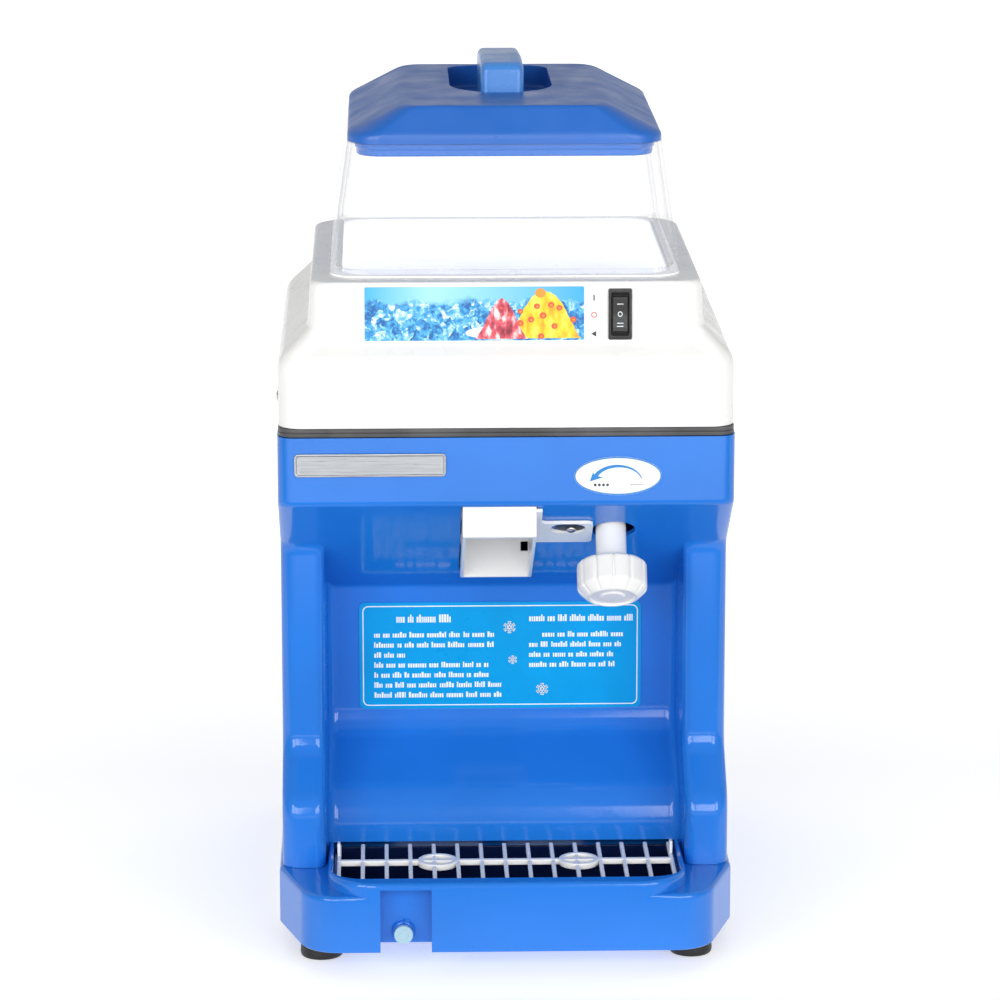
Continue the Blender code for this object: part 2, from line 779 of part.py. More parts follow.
def make_gasket():
    def ring(inset, z):
        half_x = BODY_HALF_X - 0.0008 - inset
        corner = BODY_CORNER - inset * 0.5
        back_corner = BODY_BACK_CORNER - inset
        front, back = BODY_FRONT + 0.0008 + inset, BODY_BACK - 0.0008 - inset
        return plan_ring(half_x, front, back, corner, z, back_corner)

    low, high = BODY_TOP + GAP, GASKET_TOP
    loft("gasket", [ring(0, high), ring(0, low), ring(0.010, low), ring(0.010, high)], "dark_rubber")


def make_deck_plate():
    opening = rectangle(-0.042, -0.160, 0.100, -0.0635, 0.004)
    outline = [(p.x, p.y) for p in plan_ring(0.160, -0.168, 0.179, 0.010, 0, 0.045)]
    slab(
        "deck_plate", outline, DECK_THICK, "steel",
        Matrix.Translation((0, 0, DECK_TOP - DECK_THICK / 2)),
        holes=[opening, circle(0.0143, 0, SPINDLE_Y), circle(0.008, 0.12, 0.12, 16)],
    )


# ---------------------------------------------------------------- cover, hopper and lid


def make_top_cover():
    front, back, half_x = BODY_FRONT, BODY_BACK, COVER_HALF_X

    def box_ring(z, inset=0.0):
        corner = BODY_CORNER + 0.004
        return plan_ring(half_x - inset, front + inset, back - inset, corner, z, BODY_BACK_CORNER)

    def rising(ring, outer):
        """Lifts each point by its distance inside the shoulder's edge, for a 45 degree slope all round."""
        lifted = []
        for i, (p, q) in enumerate(zip(ring, outer)):
            corner, step = divmod(i, CORNER_STEPS + 1)
            facing = math.pi * (1 + (corner + step / CORNER_STEPS) / 2)
            inside = (q - p).dot(Vector((math.cos(facing), math.sin(facing), 0)))
            rise = min(inside, ROOF_Z - SHOULDER_Z)
            lifted.append(Vector((p.x, p.y, SHOULDER_Z + rise + p.z)))
        return lifted

    mouth = (SEAT_HALF_X + 0.0005, SEAT_FRONT - 0.0005, SEAT_BACK + 0.0005, SEAT_CORNER)
    edge = box_ring(SHOULDER_Z)
    roof = rising(plan_ring(DOME_HALF_X, DOME_FRONT, SHOULDER_BACK, 0.014, 0, 0.040), edge)
    foot = rising(plan_ring(DOME_HALF_X - 0.0008, DOME_FRONT + 0.0006, DOME_BACK, 0.014, 0.0015, 0.030), edge)
    rings = [
        box_ring(COVER_LOW),
        edge,
        roof,
        foot,
        plan_ring(0.1414, -0.1611, 0.1240, 0.014, DOME_TOP - 0.0026, 0.028),
        plan_ring(0.1406, -0.1603, 0.1232, 0.0132, DOME_TOP - 0.0008, 0.0272),
        plan_ring(0.1388, -0.1585, 0.1214, 0.012, DOME_TOP, 0.026),
        plan_ring(*mouth, DOME_TOP),
        plan_ring(*mouth, DOME_TOP - WALL),
        plan_ring(0.1375, -0.1572, 0.1200, 0.010, DOME_TOP - WALL, 0.024),
        plan_ring(0.1410, -0.1620, 0.1285, 0.012, ROOF_Z - 0.014, 0.028),
        box_ring(SHOULDER_Z - WALL, WALL),
        box_ring(COVER_LOW, WALL),
    ]
    cover = loft("top_cover", rings, "white_plastic")
    switch_hole = block(
        "switch_hole",
        (SWITCH_X - 0.0070, -0.175, SWITCH_Z - 0.0150),
        (SWITCH_X + 0.0070, -0.150, SWITCH_Z + 0.0150),
    )
    holes = [switch_hole]
    for side in (-1, 1):
        for y in COVER_SCREW_YS:
            out = outward_x(side, half_x, y, COVER_SCREW_Z)
            holes.append(drum("screw_hole", 0.0022, -0.008, 0.004, matrix=out, steps=16))
    boolean(cover, grouped("cover_holes", holes))


def make_hopper():
    wall = HOPPER_WALL

    def tube_ring(z, share, inset=0.0, radius=0.022):
        half_x = HOPPER_HALF_X + (HOPPER_TOP_HALF_X - HOPPER_HALF_X) * share - inset
        lean = HOPPER_LEAN * share
        return plan_ring(half_x, HOPPER_FRONT + lean + inset, HOPPER_BACK - lean - inset, radius - inset, z)

    def seat_ring(z, inset=0.0):
        return plan_ring(
            SEAT_HALF_X - 0.0005 - inset, SEAT_FRONT + 0.0005 + inset, SEAT_BACK - 0.0005 - inset,
            SEAT_CORNER - inset, z,
        )

    low = DOME_TOP + GAP
    rings = [
        seat_ring(FUNNEL_LOW + 0.006),
        seat_ring(low),
        tube_ring(low, 0.0),
        tube_ring(low + wall, 0.03),
        tube_ring(HOPPER_TOP, 1.0),
        tube_ring(HOPPER_TOP, 1.0, wall),
        tube_ring(low + 2 * wall, 0.06, wall),
        seat_ring(low + wall, wall),
        seat_ring(FUNNEL_LOW + 0.009, wall),
        throat_ring(CHAMBER_RADIUS - 0.004, FUNNEL_LOW + wall),
        throat_ring(CHAMBER_RADIUS - 0.004, FUNNEL_LOW),
    ]
    loft("hopper", rings, "clear_acrylic")


def lid_ring(share, z, inset=0.0, radius=0.024):
    """A ring of the lid, from its rim at share 0 to its flat top at share 1."""
    half_x = LID_HALF_X + (LID_FLAT_HALF_X - LID_HALF_X) * share - inset
    run = LID_FLAT_RUN * share + inset
    return plan_ring(half_x, LID_FRONT + run, LID_BACK - run, radius, z)


def pocket_outline(margin=0.0):
    """The finger pocket seen from above: straight sides, a deeply bowed front and a squarer back."""
    half_x = POCKET_HALF_X + margin
    front, back = POCKET_FRONT - margin, POCKET_BACK + margin
    path = []
    for side, end, bow in ((-1, front, POCKET_FRONT_BOW), (1, back, POCKET_BACK_BOW)):
        for k in range(17):
            a = math.pi * k / 16
            path.append((side * half_x * math.cos(a), end - side * bow * (1 - math.sin(a))))
    return path


def make_lid_shell():
    rings = [
        lid_ring(0.0, LID_LOW),
        lid_ring(0.0, LID_LOW + 0.003),
        lid_ring(0.05, LID_LOW + 0.0075),
        lid_ring(0.93, LID_FLAT_Z - 0.0012, radius=0.014),
        lid_ring(1.05, LID_FLAT_Z, radius=0.010),
    ]
    lid = loft("lid_shell", rings, "lid_plastic", capped=True)
    hollow = [
        lid_ring(0.0, LID_LOW - 0.005, WALL),
        lid_ring(0.0, LID_LOW + 0.002, WALL),
        lid_ring(0.93, LID_FLAT_Z - 0.0012 - WALL, WALL * 0.5, 0.014),
    ]
    boolean(lid, loft("lid_hollow", hollow, capped=True))
    cup_z = LID_FLAT_Z - (POCKET_DEPTH + 0.0025) / 2
    cup_high = POCKET_DEPTH + 0.0025
    cup_at = Matrix.Translation((0, 0, cup_z - 0.0005))
    cup = slab("pocket_cup", pocket_outline(0.0025), cup_high - 0.001, matrix=cup_at)
    boolean(lid, cup, "UNION")
    pocket_z = LID_FLAT_Z - POCKET_DEPTH / 2 + 0.005
    pocket_at = Matrix.Translation((0, 0, pocket_z))
    pocket = slab("pocket_cut", pocket_outline(), POCKET_DEPTH + 0.010, matrix=pocket_at)
    boolean(lid, pocket)
    low = LID_FLAT_Z - POCKET_DEPTH - 0.001
    side = [
        (HANDLE_FRONT, low, 0),
        (HANDLE_FRONT, HANDLE_TOP - 0.0010, 0.006),
        (-0.010, HANDLE_TOP, 0.05),
        (HANDLE_BACK, HANDLE_TOP - 0.0045, 0.010),
        (HANDLE_BACK + 0.018, low, 0),
    ]
    handle = slab("handle_bar", rounded(side, steps=4), 2 * HANDLE_HALF_X, matrix=SIDE_ON)
    bevel(handle, 0.003, 2)
    boolean(lid, handle, "UNION")


def make_lid_liner():
    """The stepped plate under the lid that fits inside the hopper's mouth."""
    inset = HOPPER_WALL + 0.0022
    low = LID_LOW - 0.010
    rings = [
        lid_ring(0, low + 0.003, inset + 0.0060, 0.014),
        lid_ring(0, LID_LOW + 0.0015, inset + 0.0030, 0.017),
        lid_ring(0, LID_LOW + 0.0015, inset, 0.019),
        lid_ring(0, LID_LOW - 0.0045, inset, 0.019),
        lid_ring(0, LID_LOW - 0.0060, inset + 0.0012, 0.018),
        lid_ring(0, low + 0.002, inset + 0.0012, 0.018),
        lid_ring(0, low, inset + 0.0030, 0.016),
    ]
    loft("lid_liner", rings, "lid_plastic", capped=True)



# ---------------------------------------------------------------- switch, labels and badge

SWITCH_X = 0.0820
SWITCH_Z = 0.4805
ROCKER_HALF = 0.0128
ROCKER_PIVOT_IN = 0.0005
DOME_LEAN = math.atan2(0.0033, 0.041)  # how far the dome's front leans back


def dome_face(x, z, out=0.0):
    """A frame on the dome's front: local X along X, local Y up the face, local Z out of it."""
    lean, rise = math.sin(DOME_LEAN), math.cos(DOME_LEAN)
    y = -0.1611 - (DOME_TOP - 0.0026 - z) * math.tan(DOME_LEAN)
    frame = Matrix(((1, 0, 0, x), (0, lean, -rise, y), (0, rise, lean, z), (0, 0, 0, 1)))
    return frame @ Matrix.Translation((0, 0, out))


def hood_face(x, z, out=0.0):
    frame = FACE_ON.copy()
    frame.translation = (x, BODY_FRONT - out, z)
    return frame


def make_switch():
    face = dome_face(SWITCH_X, SWITCH_Z)
    bezel_half_x, bezel_half_z, bezel = 0.0085, 0.0185, 0.0022
    body = slab(
        "switch_body", rectangle(-bezel_half_x, -bezel_half_z, bezel_half_x, bezel_half_z, 0.001, 2),
        bezel, "black_plastic", face @ Matrix.Translation((0, 0, GAP + bezel / 2)),
    )
    case = block("switch_case", (-0.0065, -0.0145, -0.018), (0.0065, 0.0145, GAP + 0.001), matrix=face)
    boolean(body, case, "UNION")
    pocket = block("rocker_pocket", (-0.0055, -0.0134, -0.0060), (0.0055, 0.0134, 0.01), matrix=face)
    boolean(body, pocket)
    half = ROCKER_HALF
    side = [
        (-half, 0.0030), (0, 0.0018), (half, 0.0030), (0.0122, 0.0002),
        (0.004, -0.0030), (-0.004, -0.0030), (-0.0122, 0.0002),
    ]
    hinge = dome_face(SWITCH_X, SWITCH_Z, -ROCKER_PIVOT_IN)
    slab("switch_rocker", side, 0.0104, "black_plastic", hinge @ SIDE_ON)


def make_labels():
    thick = 0.0004
    out = GAP + thick / 2
    slab(
        "picture_label", rectangle(-0.0790, -0.0194, 0.0790, 0.0194, 0.001, 2), thick,
        "printed_label", dome_face(-0.0230, 0.4812, out),
    )
    oval = [(0.032 * math.cos(a), 0.0143 * math.sin(a)) for a in (2 * math.pi * k / 40 for k in range(40))]
    slab("oval_label", oval, thick, "white_plastic", hood_face(0.0805, 0.3637, out))
    frame = FACE_ON.copy()
    frame.translation = (-0.001, RECESS_WALL_Y - out, 0.1940)
    slab(
        "instruction_label", rectangle(-0.1073, -0.0418, 0.1073, 0.0418, 0.004, 3), thick,
        "printed_label", frame,
    )
    badge = slab(
        "badge_plate", rectangle(-0.0548, -0.0085, 0.0548, 0.0085, 0.003, 3), 0.0016,
        "badge_metal", hood_face(-0.0988, 0.3727, GAP + 0.0008),
    )
    bevel(badge, 0.0004, 1)


# ---------------------------------------------------------------- chute and adjuster


def make_chute():
    wall = CHUTE_WALL
    across = SIDE_ON.copy()
    across.translation = ((CHUTE_LEFT + CHUTE_RIGHT) / 2, 0, 0)
    side = [
        (CHUTE_FRONT, CHUTE_TOP), (CHUTE_FRONT, CHUTE_FRONT_LOW),
        (CHUTE_BACK, CHUTE_BACK_LOW), (CHUTE_BACK, CHUTE_TOP),
    ]
    chute = slab("ice_chute", side, CHUTE_RIGHT - CHUTE_LEFT, "white_plastic", across)
    passage = block(
        "chute_passage",
        (CHUTE_LEFT + wall, CHUTE_FRONT + wall, 0.2),
        (CHUTE_RIGHT - wall, CHUTE_BACK - wall, 0.4),
    )
    flange_frame = underside_frame(*SCREW_SPOT)
    flange_left = CHUTE_RIGHT - 0.001 - SCREW_SPOT[0]
    flange = slab(
        "chute_flange",
        rectangle(flange_left, -0.0150, FLANGE_RIGHT - SCREW_SPOT[0], 0.0190, 0.0015, 2),
        0.0025,
        matrix=flange_frame @ Matrix.Translation((0, 0, GAP + 0.00125)),
    )
    slot = slab(
        "flange_slot",
        rectangle(-FLANGE_SLOT_HALF_X, FLANGE_SLOT_LOW, FLANGE_SLOT_HALF_X, FLANGE_SLOT_HIGH, 0.0085, 4),
        0.02,
        matrix=flange_frame,
    )
    peep_left, peep_right, peep_low, peep_high = CHUTE_PEEP
    peep = block(
        "chute_peep",
        (peep_left, CHUTE_BACK - CHUTE_WALL - 0.003, peep_low),
        (peep_right, CHUTE_BACK + 0.003, peep_high),
    )
    boolean(chute, flange, "UNION")
    boolean(chute, grouped("chute_cuts", [passage, slot, peep]))
    slack = 0.0006
    washer = rectangle(
        slack - FLANGE_SLOT_HALF_X, FLANGE_SLOT_LOW + slack,
        FLANGE_SLOT_HALF_X - slack, FLANGE_SLOT_HIGH - slack, 0.0078, 4,
    )
    slab(
        "chute_washer", washer, 0.0007, "dark_rubber",
        flange_frame @ Matrix.Translation((0, 0, GAP + 0.00035)), holes=[circle(0.0024, steps=16)],
    )


def lobed_ring(radius, depth, height, count=48):
    """A ring with round-bottomed flutes of the given depth between the knob's lobes."""
    ring = []
    for k in range(count):
        a = 2 * math.pi * (k + 0.5) / count
        flute = max(0.0, math.cos(KNOB_LOBES * a)) ** 2
        r = radius - depth * flute
        ring.append(Vector((r * math.cos(a), r * math.sin(a), height)))
    return ring


def make_adjuster():
    flute = 0.0022
    rings = [
        lobed_ring(STEM_RADIUS - 0.0005, 0, -STEM_UP),
        lobed_ring(STEM_RADIUS, 0, -STEM_UP + 0.0005),
        lobed_ring(STEM_RADIUS, 0, KNOB_REAR),
        lobed_ring(KNOB_RADIUS - 0.0050, flute * 0.6, KNOB_REAR + 0.0006),
        lobed_ring(KNOB_RADIUS - 0.0006, flute, KNOB_REAR + 0.0050),
        lobed_ring(KNOB_RADIUS, flute, KNOB_REAR + 0.0070),
        lobed_ring(KNOB_RADIUS, flute, KNOB_FACE - 0.0095),
        lobed_ring(KNOB_RADIUS - 0.0012, flute * 0.8, KNOB_FACE - 0.0070),
        lobed_ring(0.0180, 0, KNOB_FACE - 0.0005),
        lobed_ring(0.0172, 0, KNOB_FACE),
        lobed_ring(0.0135, 0, KNOB_FACE),
        lobed_ring(0.0120, 0, KNOB_FACE - 0.0018),
        lobed_ring(0.0075, 0, KNOB_FACE - 0.0018),
        lobed_ring(0.0060, 0, KNOB_FACE - 0.0002),
    ]
    loft("adjust_knob", rings, "white_plastic", capped=True, matrix=KNOB_FRAME)
    drum("adjust_rod", ROD_RADIUS, -ROD_UP, -STEM_UP - GAP, "steel", KNOB_FRAME, steps=24)


# ---------------------------------------------------------------- ice works


def make_blade_and_carrier():
    outline = [
        (-0.0055, -0.098), (0.092, -0.098), (0.092, -0.070), (0.020, -0.070),
        (0.020, -0.074), (-0.0055, -0.074),
    ]
    slab("blade_carrier", outline, 0.0045, "steel", Matrix.Translation((0, 0, 0.3910)))
    frame = FACE_ON.copy()
    frame.translation = (0, -0.086, 0)
    edge = [(-0.0050, 0.3936), (0.0060, 0.3936), (0.0060, 0.3952), (-0.0085, 0.3995), (-0.0092, 0.3992)]
    slab("blade", edge, 0.040, "steel", frame)


def make_ice_chamber():
    outer = CHAMBER_RADIUS
    inner = outer - CHAMBER_WALL
    under = CHAMBER_FLOOR - CHAMBER_WALL
    profile = [
        (inner, CHAMBER_TOP), (outer, CHAMBER_TOP), (outer, DECK_TOP + GAP), (inner, DECK_TOP + GAP),
        (inner, under), (0.0120, under), (0.0120, CHAMBER_FLOOR), (inner, CHAMBER_FLOOR),
    ]
    at_spindle = Matrix.Translation((0, SPINDLE_Y, 0))
    chamber = turned("ice_chamber", profile, "white_plastic", at_spindle, 40)
    slot = block("shaving_slot", (-0.022, -0.109, 0.37), (0.008, -0.063, 0.42))
    arm_gap = block("arm_gap", (0.030, -0.101, 0.37), (0.100, -0.067, under - 0.0003))
    boolean(chamber, grouped("chamber_cuts", [slot, arm_gap]))


def make_paddle():
    hub = 0.016
    half = 0.0022
    at_hub = math.asin(half / hub)
    path = []
    for vane in range(3):
        turn = math.radians(30 + 120 * vane)
        for k in range(7):
            a = turn - math.radians(120) + at_hub + (math.radians(120) - 2 * at_hub) * k / 6
            path.append((hub * math.cos(a), hub * math.sin(a)))
        along = (math.cos(turn), math.sin(turn))
        for side in (-1, 1):
            x = PADDLE_REACH * along[0] - side * half * along[1]
            y = PADDLE_REACH * along[1] + side * half * along[0]
            path.append((x, y))
    lift = Matrix.Translation((0, SPINDLE_Y, (PADDLE_LOW + PADDLE_TOP) / 2))
    slab("ice_paddle", path, PADDLE_TOP - PADDLE_LOW, "steel", lift, holes=[circle(SHAFT_RADIUS + GAP)])


def make_rotor_shaft():
    at_spindle = Matrix.Translation((0, SPINDLE_Y, 0))
    shaft = [
        (0, 0.4450), (0.0055, 0.4450), (SHAFT_RADIUS, 0.4425), (SHAFT_RADIUS, 0.3480), (0, 0.3480),
    ]
    turned("rotor_shaft", shaft, "steel", at_spindle)
    cap = [
        (0, 0.4560), (0.0060, 0.4550), (0.0105, 0.4510), (0.0120, PADDLE_TOP + GAP),
        (0.0085, PADDLE_TOP + GAP), (0.0085, 0.4456), (0, 0.4456),
    ]
    turned("paddle_nut", cap, "steel", at_spindle, 18)
    bearing = [
        (0.0086, 0.3940), (0.0112, 0.3940), (0.0112, 0.3895), (0.0190, 0.3895), (0.0190, DECK_TOP + GAP),
        (0.0139, DECK_TOP + GAP), (0.0139, 0.3790), (0.0086, 0.3790),
    ]
    turned("shaft_bearing", bearing, "steel", at_spindle)


def pulley_profile(groove, bore):
    half = BELT_WIDE / 2 + GAP
    edge = half + 0.0025
    rim = groove + PULLEY_FLANGE
    return [
        (bore, BELT_Z + edge), (rim, BELT_Z + edge), (rim, BELT_Z + half), (groove, BELT_Z + half),
        (groove, BELT_Z - half), (rim, BELT_Z - half), (rim, BELT_Z - edge), (bore, BELT_Z - edge),
    ]


def belt_outline(grow):
    """The path of the belt's face round both pulleys, grown from the groove radii."""
    big, small = ROTOR_GROOVE + grow, MOTOR_GROOVE + grow
    leave = math.acos((big - small) / (MOTOR_Y - SPINDLE_Y))
    path = []
    for k in range(25):
        a = leave + (2 * math.pi - 2 * leave) * k / 24
        path.append((big * math.sin(a), SPINDLE_Y + big * math.cos(a)))
    for k in range(17):
        a = -leave + 2 * leave * k / 16
        path.append((small * math.sin(a), MOTOR_Y + small * math.cos(a)))
    return path


def make_belt_drive():
    turned(
        "rotor_pulley", pulley_profile(ROTOR_GROOVE, SHAFT_RADIUS + GAP), "steel",
        Matrix.Translation((0, SPINDLE_Y, 0)),
    )
    turned(
        "motor_pulley", pulley_profile(MOTOR_GROOVE, MOTOR_SHAFT_RADIUS + GAP), "steel",
        Matrix.Translation((0, MOTOR_Y, 0)),
    )
    slab(
        "drive_belt", belt_outline(GAP + BELT_THICK), BELT_WIDE, "dark_rubber",
        Matrix.Translation((0, 0, BELT_Z)), holes=[belt_outline(GAP)],
    )


def make_motor():
    at_motor = Matrix.Translation((0, MOTOR_Y, 0))
    radius = MOTOR_RADIUS
    case = [
        (0, MOTOR_TOP - 0.010), (0.0075, MOTOR_TOP - 0.010), (0.0075, MOTOR_TOP + 0.002),
        (0.018, MOTOR_TOP + 0.002), (0.018, MOTOR_TOP), (radius - 0.004, MOTOR_TOP),
        (radius, MOTOR_TOP - 0.004), (radius, MOTOR_TOP - 0.028), (radius - 0.003, MOTOR_TOP - 0.028),
        (radius - 0.003, MOTOR_LOW + 0.028), (radius, MOTOR_LOW + 0.028), (radius, MOTOR_LOW + 0.004),
        (radius - 0.004, MOTOR_LOW), (0, MOTOR_LOW),
    ]
    turned("motor_housing", case, "motor_paint", at_motor)
    shaft = [
        (0, 0.3680), (0.0042, 0.3680), (MOTOR_SHAFT_RADIUS, 0.3670),
        (MOTOR_SHAFT_RADIUS, MOTOR_TOP - 0.009), (0, MOTOR_TOP - 0.009),
    ]
    turned("motor_shaft", shaft, "steel", at_motor, 24)
    low, high = MOTOR_TOP + 0.0024, MOTOR_TOP + 0.0054
    plate = slab(
        "motor_bracket", rectangle(-0.056, MOTOR_Y - 0.050, 0.056, MOTOR_Y + 0.050, 0.006), high - low,
        "steel", Matrix.Translation((0, 0, (low + high) / 2)), holes=[circle(0.012, 0, MOTOR_Y)],
    )
    posts = []
    for x in (-0.049, 0.049):
        for y in (MOTOR_Y - 0.043, MOTOR_Y + 0.043):
            top = DECK_TOP - DECK_THICK - GAP
            posts.append(drum("bracket_post", 0.004, high - 0.001, top, centre=(x, y), steps=16))
    boolean(plate, grouped("bracket_posts", posts), "UNION")


def make_wiring_parts():
    can = [
        (0, 0.150), (0.016, 0.150), (0.0175, 0.1485), (0.0175, 0.0915), (0.016, 0.090), (0, 0.090),
    ]
    turned("run_capacitor", can, "steel", Matrix.Translation((0.085, 0.085, 0)), 24)
    strip_low, strip_high = (-0.115, 0.020, BASE_TOP + GAP), (-0.097, 0.075, BASE_TOP + 0.018)
    strip = block("terminal_block", strip_low, strip_high, "black_plastic")
    wells = []
    for k in range(4):
        y = 0.028 + 0.013 * k
        spot = (-0.106, y)
        wells.append(drum("terminal_well", 0.0035, BASE_TOP + 0.010, BASE_TOP + 0.03, centre=spot, steps=12))
    boolean(strip, grouped("terminal_wells", wells))
    x, z = INLET_SPOT
    frame = FACE_ON.copy()
    frame.translation = (x, BODY_BACK + GAP + 0.0015, z)
    outline = rectangle(-0.0200, -0.0135, 0.0200, 0.0135, 0.003, 3)
    inlet = slab("power_inlet", outline, 0.003, "black_plastic", frame)
    case = block("inlet_case", (-0.0138, -0.0098, 0), (0.0138, 0.0098, 0.024), matrix=frame)
    boolean(inlet, case, "UNION")
    socket = block("inlet_socket", (-0.0120, -0.0080, -0.01), (0.0120, 0.0080, 0.016), matrix=frame)
    boolean(inlet, socket)


def main():
    make_base_shell()
    make_bottom_plate()
    make_feet()
    make_drip_basin()
    make_drain_plug()
    make_drip_grid()
    make_body_shell()
    make_back_panel()
    make_gasket()
    make_deck_plate()
    make_top_cover()
    make_hopper()
    make_lid_shell()
    make_lid_liner()
    make_switch()
    make_labels()
    make_chute()
    make_screws()
    make_adjuster()
    make_blade_and_carrier()
    make_ice_chamber()
    make_paddle()
    make_rotor_shaft()
    make_belt_drive()
    make_motor()
    make_wiring_parts()


main()
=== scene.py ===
"""Looks of the counter-top shaved ice machine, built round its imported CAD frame.

Metres, +Z up, the front faces -Y. Each fine piece stands for one plain CAD node and rides on its body.
"""

import math
import random

import bmesh
import bpy
from mathutils import Matrix, Vector


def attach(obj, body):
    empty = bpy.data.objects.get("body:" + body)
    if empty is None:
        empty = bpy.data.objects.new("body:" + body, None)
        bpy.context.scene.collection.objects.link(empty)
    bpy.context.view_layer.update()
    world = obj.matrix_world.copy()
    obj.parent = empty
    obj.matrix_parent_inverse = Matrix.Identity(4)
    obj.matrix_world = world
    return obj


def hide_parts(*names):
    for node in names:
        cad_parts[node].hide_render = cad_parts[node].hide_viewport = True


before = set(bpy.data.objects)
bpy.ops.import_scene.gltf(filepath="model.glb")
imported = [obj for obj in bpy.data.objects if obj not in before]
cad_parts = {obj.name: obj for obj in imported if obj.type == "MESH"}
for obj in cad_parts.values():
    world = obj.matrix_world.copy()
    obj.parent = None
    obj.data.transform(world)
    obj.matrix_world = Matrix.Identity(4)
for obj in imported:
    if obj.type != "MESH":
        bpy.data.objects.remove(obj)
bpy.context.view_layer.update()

GAP = 0.0003
WALL = 0.003
ARC = 8  # steps in a quarter turn of a moulded corner
SHARP = math.radians(32)

TILT = math.radians(35.0)  # the hood's underside
BODY_FRONT, BODY_BACK, BODY_TOP = -0.175, 0.185, 0.3925
BODY_HALF_X, BODY_CORNER, BODY_BACK_CORNER = 0.166, 0.012, 0.050
HOOD_LOW = 0.3425
COLUMN_Y, COLUMN_FOOT_Y = -0.110, -0.150
RECESS_WALL_Y, RECESS_FOOT_Y, RECESS_FOOT_LOW = -0.042, -0.105, 0.066
RECESS_HALF_X, RECESS_EDGE = 0.133, 0.008
SPINDLE_Y = -0.030

UP = Matrix()
SIDE_ON = Matrix(((0, 0, 1, 0), (1, 0, 0, 0), (0, 1, 0, 0), (0, 0, 0, 1)))  # outline (y, z) along X
FACE_ON = Matrix(((1, 0, 0, 0), (0, 0, -1, 0), (0, 1, 0, 0), (0, 0, 0, 1)))  # outline (x, z) along -Y


# ---------------------------------------------------------------- shapes


def rounded(corners, closed=True, steps=ARC):
    """A path through (x, y, radius) corners, each turned with an arc. A radius of 0 is a plain point."""
    path = []
    count = len(corners)
    for i, (x, y, radius) in enumerate(corners):
        here = Vector((x, y))
        at_end = not closed and i in (0, count - 1)
        if at_end or radius == 0:
            path.append((x, y))
            continue
        back = (Vector(corners[i - 1][:2]) - here).normalized()
        ahead = (Vector(corners[(i + 1) % count][:2]) - here).normalized()
        half_angle = back.angle(ahead) / 2
        reach = radius / math.tan(half_angle)
        centre = here + (back + ahead).normalized() * radius / math.sin(half_angle)
        start = here + back * reach - centre
        finish = here + ahead * reach - centre
        turn = math.atan2(start.x * finish.y - start.y * finish.x, start.dot(finish))
        for k in range(steps + 1):
            path.append(tuple(centre + Matrix.Rotation(turn * k / steps, 2) @ start))
    return path


def rectangle(half_x, half_y, radius, x=0.0, y=0.0, steps=ARC):
    corners = [(-half_x, -half_y), (half_x, -half_y), (half_x, half_y), (-half_x, half_y)]
    return rounded([(x + a, y + b, radius) for a, b in corners], steps=steps)


def ellipse(half_x, half_y, x=0.0, y=0.0, steps=48):
    angles = [2 * math.pi * k / steps for k in range(steps)]
    return [(x + half_x * math.cos(a), y + half_y * math.sin(a)) for a in angles]


def dot(radius, x=0.0, y=0.0, steps=48):
    return ellipse(radius, radius, x, y, steps)


def raised(outline, z):
    return [Vector((x, y, z)) for x, y in outline]


def plan_ring(half_x, front, back, radius, z, back_radius=None):
    """A rounded rectangle seen from above, with the same point count at any size."""
    far = back_radius or radius
    corners = [(-half_x, front, radius), (half_x, front, radius), (half_x, back, far), (-half_x, back, far)]
    return raised(rounded(corners), z)


def inset_ring(plan, inset, radius, z, back_radius=None):
    """A plan_ring moved in all round. The plan holds the half width, the front and the back."""
    half_x, front, back = plan
    return plan_ring(half_x - inset, front + inset, back - inset, radius, z, back_radius)


def turned_rings(profile, steps=48):
    """Rings of a (radius, height) profile about local Z."""
    angles = [2 * math.pi * (k + 0.5) / steps for k in range(steps)]
    return [[Vector((r * math.cos(a), r * math.sin(a), z)) for a in angles] for r, z in profile]


def softened(rings, reaches, steps=5):
    """Rounds a skin: each ring with a reach becomes a short curve of rings between its neighbours."""
    soft = []
    for k, (ring, reach) in enumerate(zip(rings, reaches)):
        if reach == 0:
            soft.append(ring)
            continue
        before, after = rings[k - 1], rings[(k + 1) % len(rings)]
        for step in range(steps + 1):
            t = step / steps
            row = []
            for p, q, r in zip(ring, before, after):
                a = p + (q - p).normalized() * min(reach, (q - p).length * 0.48)
                b = p + (r - p).normalized() * min(reach, (r - p).length * 0.48)
                row.append(a * (1 - t) ** 2 + p * 2 * t * (1 - t) + b * t**2)
            soft.append(row)
    return soft


def shown(obj):
    bpy.context.scene.collection.objects.link(obj)
    return obj


def mesh_from(build, matrix=UP):
    """A mesh that build(bm) fills, with its faces turned outward."""
    mesh = bpy.data.meshes.new("shape")
    bm = bmesh.new()
    build(bm)
    bmesh.ops.recalc_face_normals(bm, faces=bm.faces)
    bmesh.ops.transform(bm, matrix=matrix, verts=bm.verts)
    bm.to_mesh(mesh)
    bm.free()
    return mesh


def loft(rings, capped=False, matrix=UP):
    """A skin through rings of equally many points. The last ring joins the first unless it is capped."""

    def build(bm):
        rows = [[bm.verts.new(point) for point in ring] for ring in rings]
        pairs = list(zip(rows, rows[1:]))
        if capped:
            bm.faces.new(rows[0])
            bm.faces.new(rows[-1])
        else:
            pairs.append((rows[-1], rows[0]))
        for upper, lower in pairs:
            for i, corner in enumerate(upper):
                after = (i + 1) % len(upper)
                bm.faces.new((corner, upper[after], lower[after], lower[i]))

    return mesh_from(build, matrix)


def turned(profile, reaches=None, matrix=UP, steps=48):
    rings = turned_rings(profile, steps)
    if reaches:
        rings = softened(rings, reaches, 3)
    return loft(rings, capped=True, matrix=matrix)


